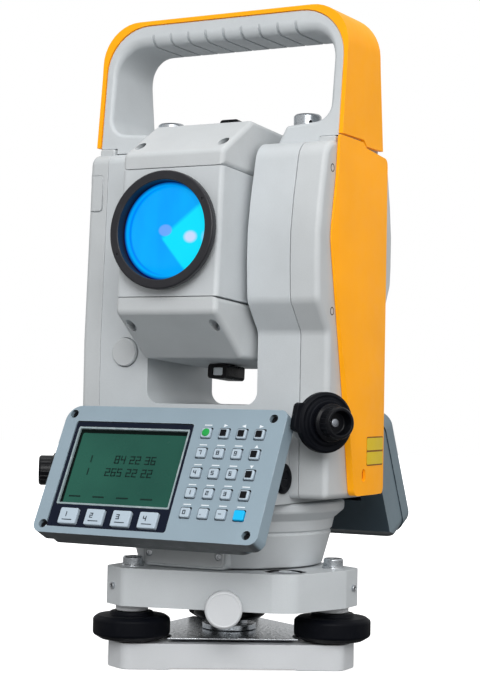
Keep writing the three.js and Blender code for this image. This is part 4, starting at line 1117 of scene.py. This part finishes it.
def eyepiece_end():
    ribs = [
        turned(rod(1.1, -60.8, -51.5), "-Y", at=(22.4 * math.cos(a), 0, 22.4 * math.sin(a)), segments=12)
        for a in (math.tau * k / 30 for k in range(30))
    ]
    ring = turned(tube(14.4, 22, -62, -50.3, 0.8), "-Y")
    piece("focusing_ring_grip", cut(ring, *ribs), "focusing_ring", "black_rubber", TELESCOPE, ["focusing_ring"])
    cup = turned([
        (4.5, -77, 0.5), (10.4, -77, 0.6), (11.4, -76, 0.4), (11.4, -68, 0.4), (13, -67, 0.4), (13.6, -62.3, 0.3), (12.2, -62.3),
        (12.2, -40), (8, -40), (4.5, -60),
    ], "-Y")
    grooves = [turned(tube(10.9, 12, -74.6 + 1.8 * i, -73.8 + 1.8 * i), "-Y") for i in range(3)]
    piece("eyepiece_cup", cut(cup, *grooves), "eyepiece", "black_plastic", TELESCOPE, ["eyepiece"])
    glass = turned([(0, -74), (4.45, -74), (4.45, -72), (0, -72)], "-Y", segments=40)
    piece("eye_lens", glass, "eyepiece", "circle_glass", TELESCOPE)


def sight(name, place):
    barrel = prism(box(-5.5, 60.5, 5.5, 68, 1.6), -14, 6, "Y")
    window = prism(box(-3.2, 62.2, 3.2, 66.4, 0.8), -30, 30, "Y")
    foot = turned(rod(2.1, 56, 62), segments=24)
    piece(f"sight_{name}_barrel", soften(cut(joined(barrel, foot), window), 0.45), "telescope", "black_plastic", place,
          [f"collimator_sight_{name}"])
    screen = prism(box(-3.1, 62.3, 3.1, 66.3, 0.7), -12.5, -11.5, "Y")
    piece(f"sight_{name}_screen", soften(screen, 0.15), "telescope", "legend_white", place)


def telescope():
    flipped = TELESCOPE @ Matrix.Rotation(math.pi, 4, "Y")
    piece("telescope_middle", telescope_body(), "telescope", "grey_casting", TELESCOPE, ["telescope_body"])
    for name, place in (("top", TELESCOPE), ("bottom", flipped)):
        shell = telescope_cover()
        piece(f"telescope_{name}_shell", shell, "telescope", "grey_cover", place, [f"telescope_{name}_cover"])
        sight(name, place)
        for i, (x, z) in enumerate(COVER_SCREWS):
            head = turned([(0, 54), (2.1, 54), (2.1, 55.4, 0.4), (0.8, 55.5), (0.8, 55), (0, 55)], "-Y",
                          at=(x, 0, z), segments=24)
            piece(f"telescope_{name}_screw_{i + 1}", head, "telescope", "machined_steel", place)
    objective()
    eyepiece_end()


# ---------- display units ----------
SEGMENTS = {
    "a": (0, 1, 1, 1), "b": (1, 0.5, 1, 1), "c": (1, 0, 1, 0.5), "d": (0, 0, 1, 0), "e": (0, 0, 0, 0.5),
    "f": (0, 0.5, 0, 1), "g": (0, 0.5, 1, 0.5),
}
DIGITS = {
    "0": "abcdef", "1": "bc", "2": "abged", "3": "abgcd", "4": "fgbc", "5": "afgcd", "6": "afgedc", "7": "abc",
    "8": "abcdefg", "9": "abcdfg", "-": "g",
}


def bar(x0, z0, x1, z1, stroke, near, far):
    """Straight stroke between two points of a face, as a thin box."""
    half = stroke / 2
    return prism(box(min(x0, x1) - half, min(z0, z1) - half, max(x0, x1) + half, max(z0, z1) + half), near, far, "Y")


def number(text, x, z, width, height, stroke, near, far):
    """Seven-segment figures from the lower left corner x, z. A point or a space is allowed between figures."""
    strokes = []
    for figure in text:
        for segment in DIGITS.get(figure, ""):
            u0, v0, u1, v1 = SEGMENTS[segment]
            strokes.append(bar(x + u0 * width, z + v0 * height, x + u1 * width, z + v1 * height, stroke, near, far))
        if figure == ".":
            strokes.append(bar(x, z, x, z, stroke * 1.3, near, far))
        x += width * (1.65 if figure in DIGITS else 0.9)
    return strokes


def unit_outline(low, high, foot):
    return [(low.x, low.z, foot), (high.x, low.z, 5), (high.x, high.z, 4), (low.x, high.z, 8.5)]


SCREW_PLACES = ((-59.8, -29.8), (-60.8, 31.2), (55.2, -29.6), (54.4, 31.2))


def housing(low, high, foot):
    """Front half of a unit; it meets its back half in a fine seam."""
    shell = prism(unit_outline(low, high, foot), 0, high.y + 0.22, "Y")

    def rule(middle, normals):
        if middle.y > 1:
            return 0.15
        return 1.3 if middle.z < low.z + 0.5 else 3
    shell = soften(shell, 0.4, rule, 3)
    opening = prism(box(BEZEL[0] - GAP, BEZEL[1] - GAP, BEZEL[2] + GAP, BEZEL[3] + GAP, 1.5), -5, 3.2, "Y")
    wells = [
        prism(box(x - 3.1, z - 3.1, x + 3.1, z + 3.1, 0.8), -5, 3.2, "Y") for z in KEY_ROWS for x in KEY_COLUMNS
    ]
    screws = [turned(rod(2.3, -3, 5), "-Y", at=(x, 0, z), segments=32) for x, z in SCREW_PLACES]
    return cut(shell, opening, *wells, *screws)


UNIT_DEPTH = 17
RIM_ROOM = 59.8


def housing_back(low, high, foot):
    """Back of a unit: it meets the neck, and is deeper beside and below it on the screen's side."""
    outline = unit_outline(low, high, foot)
    slab = prism(outline, low.y, UNIT_DEPTH, "Y")
    deep = prism(outline, UNIT_DEPTH - 1, high.y, "Y")
    rooms = [
        prism(box(-51.4, -62, 60, 0), 82, 130), turned(rod(RIM_ROOM, 40, RIM + GAP), segments=144),
        prism(box(-80, -47, 80, 0), 60, 140),
    ]
    for room in rooms:
        room.data.transform(scaled(FRONT.inverted()))
    slopes = prism([
        (low.y - 1, -36), (13, -36), (UNIT_DEPTH, -31), (high.y, -24), (high.y, 40), (low.y - 1, 40),
    ], -80, 80, "X")

    def rule(middle, normals):
        return 0.15 if middle.y < low.y + 0.1 else 0.7
    return soften(common(joined(slab, cut(deep, *rooms)), slopes), 0.7, rule)


def bezel():
    left, bottom, right, top = BEZEL
    frame_block = prism(box(left, bottom, right, top, 1.5), 0.5, 3.4, "Y")
    screen = prism(box(LCD[0] - 1.5, LCD[1] - 1.5, LCD[2] + 0.4, LCD[3] + 1.5, 0.8), -1, 3, "Y")
    keys = [
        prism(box(x - 5.5, SOFT_KEY_ROW - 4.5, x + 5.5, SOFT_KEY_ROW + 4.5, 0.6), -1, 5, "Y") for x in SOFT_KEYS
    ]
    return soften(cut(frame_block, screen, *keys), 0.3)


def lcd_frame():
    outer = prism(box(LCD[0] - 1.4, LCD[1] - 1.4, LCD[2] + 0.3, LCD[3] + 1.4, 0.7), 0.35, 2.9, "Y")
    inner = prism(box(LCD[0] - 0.5, LCD[1] - 0.5, LCD[2] - 0.5, LCD[3] + 0.5, 0.5), -1, 5, "Y")
    return soften(cut(outer, inner), 0.2)


def key_cap(half_width, half_height, proud, rounding=0.8):
    cap = prism(box(-half_width, -half_height, half_width, half_height, rounding), -proud, 3.4, "Y")

    def rule(middle, normals):
        return 0.5 if middle.y < 0 else 0.1
    return soften(cap, 0.1, rule)


def at_face(place, x, z):
    return place @ Matrix.Translation((x, 0, z))


def key_mat(side, place, hard_keys):
    """Row by row the small rubber keys, with dark faces on the cursor keys and figures on the others."""
    tops, faces, figures = [], [], []
    labels = iter("789456123")
    for row, z in enumerate(KEY_ROWS):
        for column, x in enumerate(KEY_COLUMNS):
            is_power, is_enter = row == 0 and column == 0, row == 4 and column == 3
            if hard_keys and (is_power or is_enter):
                continue
            cap = key_cap(2.5, 2.5, 1)
            cap.data.transform(Matrix.Translation((x * MM, 0, z * MM)))
            tops.append(cap)
            cursor = row == 0 or column == 3
            if cursor:
                faces.append(soften(prism(box(x - 1.9, z - 1.7, x + 1.5, z + 1.9, 0.4), -1.15, -0.9, "Y"), 0.1))
            else:
                label = next(labels, "0" if column == 0 else "." if column == 1 else "-")
                figures += number(label, x - 0.9, z - 0.9, 1.2, 1.8, 0.42, -1.08, -0.9)
    sheet = prism(box(14.4, -26, 55, 28, 2), 3.4, 5.2, "Y")
    if hard_keys:
        sheet = cut(sheet, *[prism(box(x - 3.3, z - 3.3, x + 3.3, z + 3.3), 0, 9, "Y") for x, z in (POWER, ENTER)])
    piece(f"{side}_keys", loose(sheet, *tops), "alidade", "key_grey", place, [f"{side}_key_mat"])
    piece(f"{side}_cursor_keys", loose(*faces), "alidade", "black_plastic", place)
    piece(f"{side}_key_figures", loose(*figures), "alidade", "legend_dark", place)


def legends(side, place):
    """Plain white marks above the keys: a short dash each, and arrowheads over the cursor keys."""
    marks = []
    for row, z in enumerate(KEY_ROWS):
        for column, x in enumerate(KEY_COLUMNS):
            z0 = z + 4.4
            if row == 0 and column:
                tip = (-1.1, 0) if column == 2 else (1.1, 0)
                marks.append(prism([(x + tip[0], z0), (x - tip[0], z0 - 0.8), (x - tip[0], z0 + 0.8)], -0.1, 0.1, "Y"))
            elif column == 3 and row in (1, 2):
                turn = 1 if row == 1 else -1
                marks.append(prism([(x, z0 + 0.8 * turn), (x - 1, z0 - 0.7 * turn), (x + 1, z0 - 0.7 * turn)], -0.1, 0.1, "Y"))
            else:
                marks.append(bar(x - 1.9, z0, x + 1.7, z0, 0.5, -0.1, 0.1))
    piece(f"{side}_legends", loose(*marks), "alidade", "legend_white", place)


def readout(side, place):
    """Two angle readings and a row of marks over the soft keys, in plain figures."""
    near, far = 1.45, 1.6
    strokes = []
    for text, z in (("84 22 36", 5.2), ("265 22 22", -1.8)):
        strokes += number(text, -0.5 - 3.6 * len(text), z, 2.1, 3.8, 0.55, near, far)
    for x in (-47, -33, -19, -5):
        strokes += [bar(x - 3, -13.6, x + 3, -13.6, 0.7, near, far)]
    strokes += [bar(-43.5, 5.4, -43.5, 8.6, 0.6, near, far), bar(-43.5, -1.6, -43.5, 1.6, 0.6, near, far)]
    piece(f"{side}_readout", loose(*strokes), "alidade", "lcd_digits", place)


def display(side, place, hard_keys):
    low, high = extent(f"{side}_display_housing", place)
    # Both housings carry painted shade; the rear paint is also a darker copy of the front paint, painted shade.
    finish, foot = ("panel_blue_grey", 5) if side == "front" else ("panel_rear_painted_shade", 9.5)
    piece(f"{side}_housing_shell", housing(low, high, foot), "alidade", finish, place, [f"{side}_display_housing"])
    back = housing_back(*extent(f"{side}_display_back", place), foot)
    piece(f"{side}_housing_back", back, "alidade", finish, place, [f"{side}_display_back"])
    piece(f"{side}_bezel_frame", bezel(), "alidade", "bezel_navy", place, [f"{side}_display_bezel"])
    piece(f"{side}_lcd_frame", lcd_frame(), "alidade", "lcd_frame", place)
    glass = soften(prism(box(LCD[0] - 0.4, LCD[1] - 0.4, LCD[2] - 0.6, LCD[3] + 0.4, 0.5), 1.6, 2.8, "Y"), 0.1)
    piece(f"{side}_lcd_panel", glass, "alidade", "lcd", place, [f"{side}_lcd_glass"])
    # Painted shadow: a dark strip just in front of the screen along its left and top edges, where the frame would cast
    # shade.
    shade = cut(prism(box(LCD[0] - 0.4, LCD[1] - 0.4, LCD[2] - 0.6, LCD[3] + 0.4, 0.5), 1.46, 1.56, "Y"),
                prism(box(LCD[0] + 1.1, LCD[1] - 9, LCD[2] + 9, LCD[3] - 1.5, 0.8), 0, 3, "Y"))
    piece(f"{side}_lcd_painted_shadow", shade, "alidade", "lcd_painted_shadow", place)
    readout(side, place)
    key_mat(side, place, hard_keys)
    legends(side, place)
    for i, (x, z) in enumerate(SCREW_PLACES):
        head = turned([(0, -2.9), (2, -2.9), (2, -1.9, 0.4), (0.8, -1.8), (0.8, -2.4), (0, -2.4)], "-Y", at=(x, 0, z),
                      segments=24)
        piece(f"{side}_display_screw_{i + 1}", head, "alidade", "black_plastic", place)
    for i, x in enumerate(SOFT_KEYS):
        body = f"key_f{i + 1}" if hard_keys else "alidade"
        cap = key_cap(5.2, 4.2, 1.1)
        marks = number(str(i + 1), x - 2.4, SOFT_KEY_ROW - 0.4, 1.4, 2.2, 0.45, -1.2, -1)
        marks.append(bar(x - 2.6, SOFT_KEY_ROW - 2.2, x + 2.6, SOFT_KEY_ROW - 2.2, 0.45, -1.2, -1))
        piece(f"{side}_soft_key_{i + 1}", cap, body, "key_grey", at_face(place, x, SOFT_KEY_ROW),
              [body] if hard_keys else ())
        piece(f"{side}_soft_key_mark_{i + 1}", loose(*marks), body, "legend_dark", place)


def hard_keys():
    power = at_face(FRONT, *POWER)
    piece("power_key_cap", key_cap(2.6, 2.6, 1.1, 0.9), "key_power", "key_grey", power, ["key_power"])
    lamp = turned([(0, 0.8), (2.1, 0.8), (2.1, 1.3, 0.2), (1.6, 1.6, 0.2), (0, 1.65)], "-Y", segments=32)
    piece("power_key_dot", lamp, "key_power", "key_green", power)
    enter = at_face(FRONT, *ENTER)
    piece("enter_key_cap", key_cap(2.8, 2.6, 1.1), "key_enter", "key_cyan", enter, ["key_enter"])


# ---------- stage ----------
def area_light(name, place, target, size, power, colour=(1, 1, 1)):
    lamp = bpy.data.lights.new(name, "AREA")
    lamp.shape = "RECTANGLE"
    lamp.size, lamp.size_y = size
    lamp.energy = power
    lamp.color = colour
    obj = bpy.data.objects.new(name, lamp)
    obj.location = place
    obj.rotation_euler = (Vector(target) - Vector(place)).to_track_quat("-Z", "Y").to_euler()
    bpy.context.scene.collection.objects.link(obj)


def floor():
    """Plain pale floor that brightens into the white distance and lights the object from below only faintly."""
    plate = prism(box(-3000, -3000, 3000, 3000, 200), -20, 0)
    material, tree, surface = new_material("studio_floor")
    shade = mapped(tree, noise(tree, 3, 3), 0.3, 0.7)
    pale = blended(tree, shade, linear(0xf8f8f8), linear(0xfcfcfc))
    seen = add(tree, "LightPath").outputs["Is Camera Ray"]
    tree.links.new(blended(tree, seen, linear(FLOOR_BOUNCE), pale), surface.inputs["Base Color"])
    tree.links.new(pale, surface.inputs["Emission Color"])
    place = add(tree, "TexCoord").outputs["Object"]
    away = add(tree, "VectorMath", {0: place}, operation="LENGTH").outputs["Value"]
    glow = mapped(tree, away, 0.15, 1.2, 0.6, 1)
    glow = add(tree, "Math", {0: glow, 1: seen}, operation="MULTIPLY").outputs[0]
    tree.links.new(glow, surface.inputs["Emission Strength"])
    surface.inputs["Roughness"].default_value = 0.8
    surface.inputs["Specular IOR Level"].default_value = 0.1
    plate.name = "studio_floor"
    plate.data.materials.append(material)


FLOOR_BOUNCE = 0x808080


def world_light(strength):
    """Soft even light; the camera itself sees plain white behind the object."""
    world = bpy.data.worlds.new("studio")
    world.use_nodes = True
    tree = world.node_tree
    background = tree.nodes["Background"]
    background.inputs["Color"].default_value = (1, 1, 1, 1)
    seen = add(tree, "LightPath").outputs["Is Camera Ray"]
    tree.links.new(mapped(tree, seen, 0, 1, strength, 1), background.inputs["Strength"])
    bpy.context.scene.world = world


CAMERA_AZIMUTH = math.radians(28.91)
CAMERA_DISTANCE = 0.8948
CAMERA_HEIGHT = 0.1373
CAMERA_PITCH = math.radians(1.904)
CAMERA_ROLL = math.radians(1.044)
CAMERA_PAN = math.radians(-0.191)
FOCAL_PIXELS, LONG_SIDE = 1699.3, 678


def camera():
    lens = bpy.data.cameras.new("camera")
    lens.sensor_width = 36
    lens.lens = FOCAL_PIXELS * lens.sensor_width / LONG_SIDE
    obj = bpy.data.objects.new("camera", lens)
    place = Vector((math.sin(CAMERA_AZIMUTH), -math.cos(CAMERA_AZIMUTH), 0)) * CAMERA_DISTANCE
    place.z = CAMERA_HEIGHT
    heading = Matrix.Rotation(CAMERA_AZIMUTH + CAMERA_PAN, 4, "Z")
    level_view = Matrix.Rotation(math.pi / 2 + CAMERA_PITCH, 4, "X")
    roll = Matrix.Rotation(CAMERA_ROLL, 4, "Z")
    obj.matrix_world = Matrix.Translation(place) @ heading @ level_view @ roll
    bpy.context.scene.collection.objects.link(obj)
    bpy.context.scene.camera = obj


def stage():
    floor()
    world_light(0.64)
    area_light("key", (0.9, -1.75, 1.1), (0, 0, 0.18), (1.1, 1.1), 26)
    area_light("fill", (1.7, -0.8, 0.9), (0, 0, 0.18), (1.2, 1.6), 5)
    area_light("top", (0, 0.1, 2), (0, 0, 0.2), (1.6, 1.6), 8)
    camera()
    bpy.context.scene.view_settings.view_transform = "Standard"


# ---------- carried-over CAD nodes ----------
CARRIED = {
    "machined_steel": ("vertical_axis_spindle", "trunnion_axle_left", "trunnion_axle_right"),
    "lens_brass": ("focusing_lens_cell",),
    "circle_glass": ("horizontal_circle", "vertical_circle"),
}


def carried_nodes():
    """Inner CAD nodes keep their shape: rounded edges and a real finish."""
    for slot, names in CARRIED.items():
        for name in names:
            node = frame["nodes"][name]
            node.data.materials.clear()
            node.data.materials.append(MATERIALS[slot])
            bevel = node.modifiers.new("bevel", "BEVEL")
            bevel.limit_method = "ANGLE"
            bevel.angle_limit = math.radians(40)
            bevel.width = 0.0003
            bevel.segments = 2


tribrach()
piece("alidade_bowl", bowl(), "alidade", "grey_casting", WORLD, ["alidade_base"])
screwed_plate()
piece("yoke_casting", yoke(), "alidade", "grey_casting", WORLD, ["yoke"])
covers()
side_panels()
handle()
caps()
knob_pair(RIGHT_KNOB, "elevation_clamp", "elevation_tangent_knob", 170)
knob_pair(LEFT_KNOB, "azimuth_clamp", "azimuth_tangent_knob", 115)
telescope()
display("front", FRONT, True)
display("rear", REAR, False)
hard_keys()
carried_nodes()
stage()
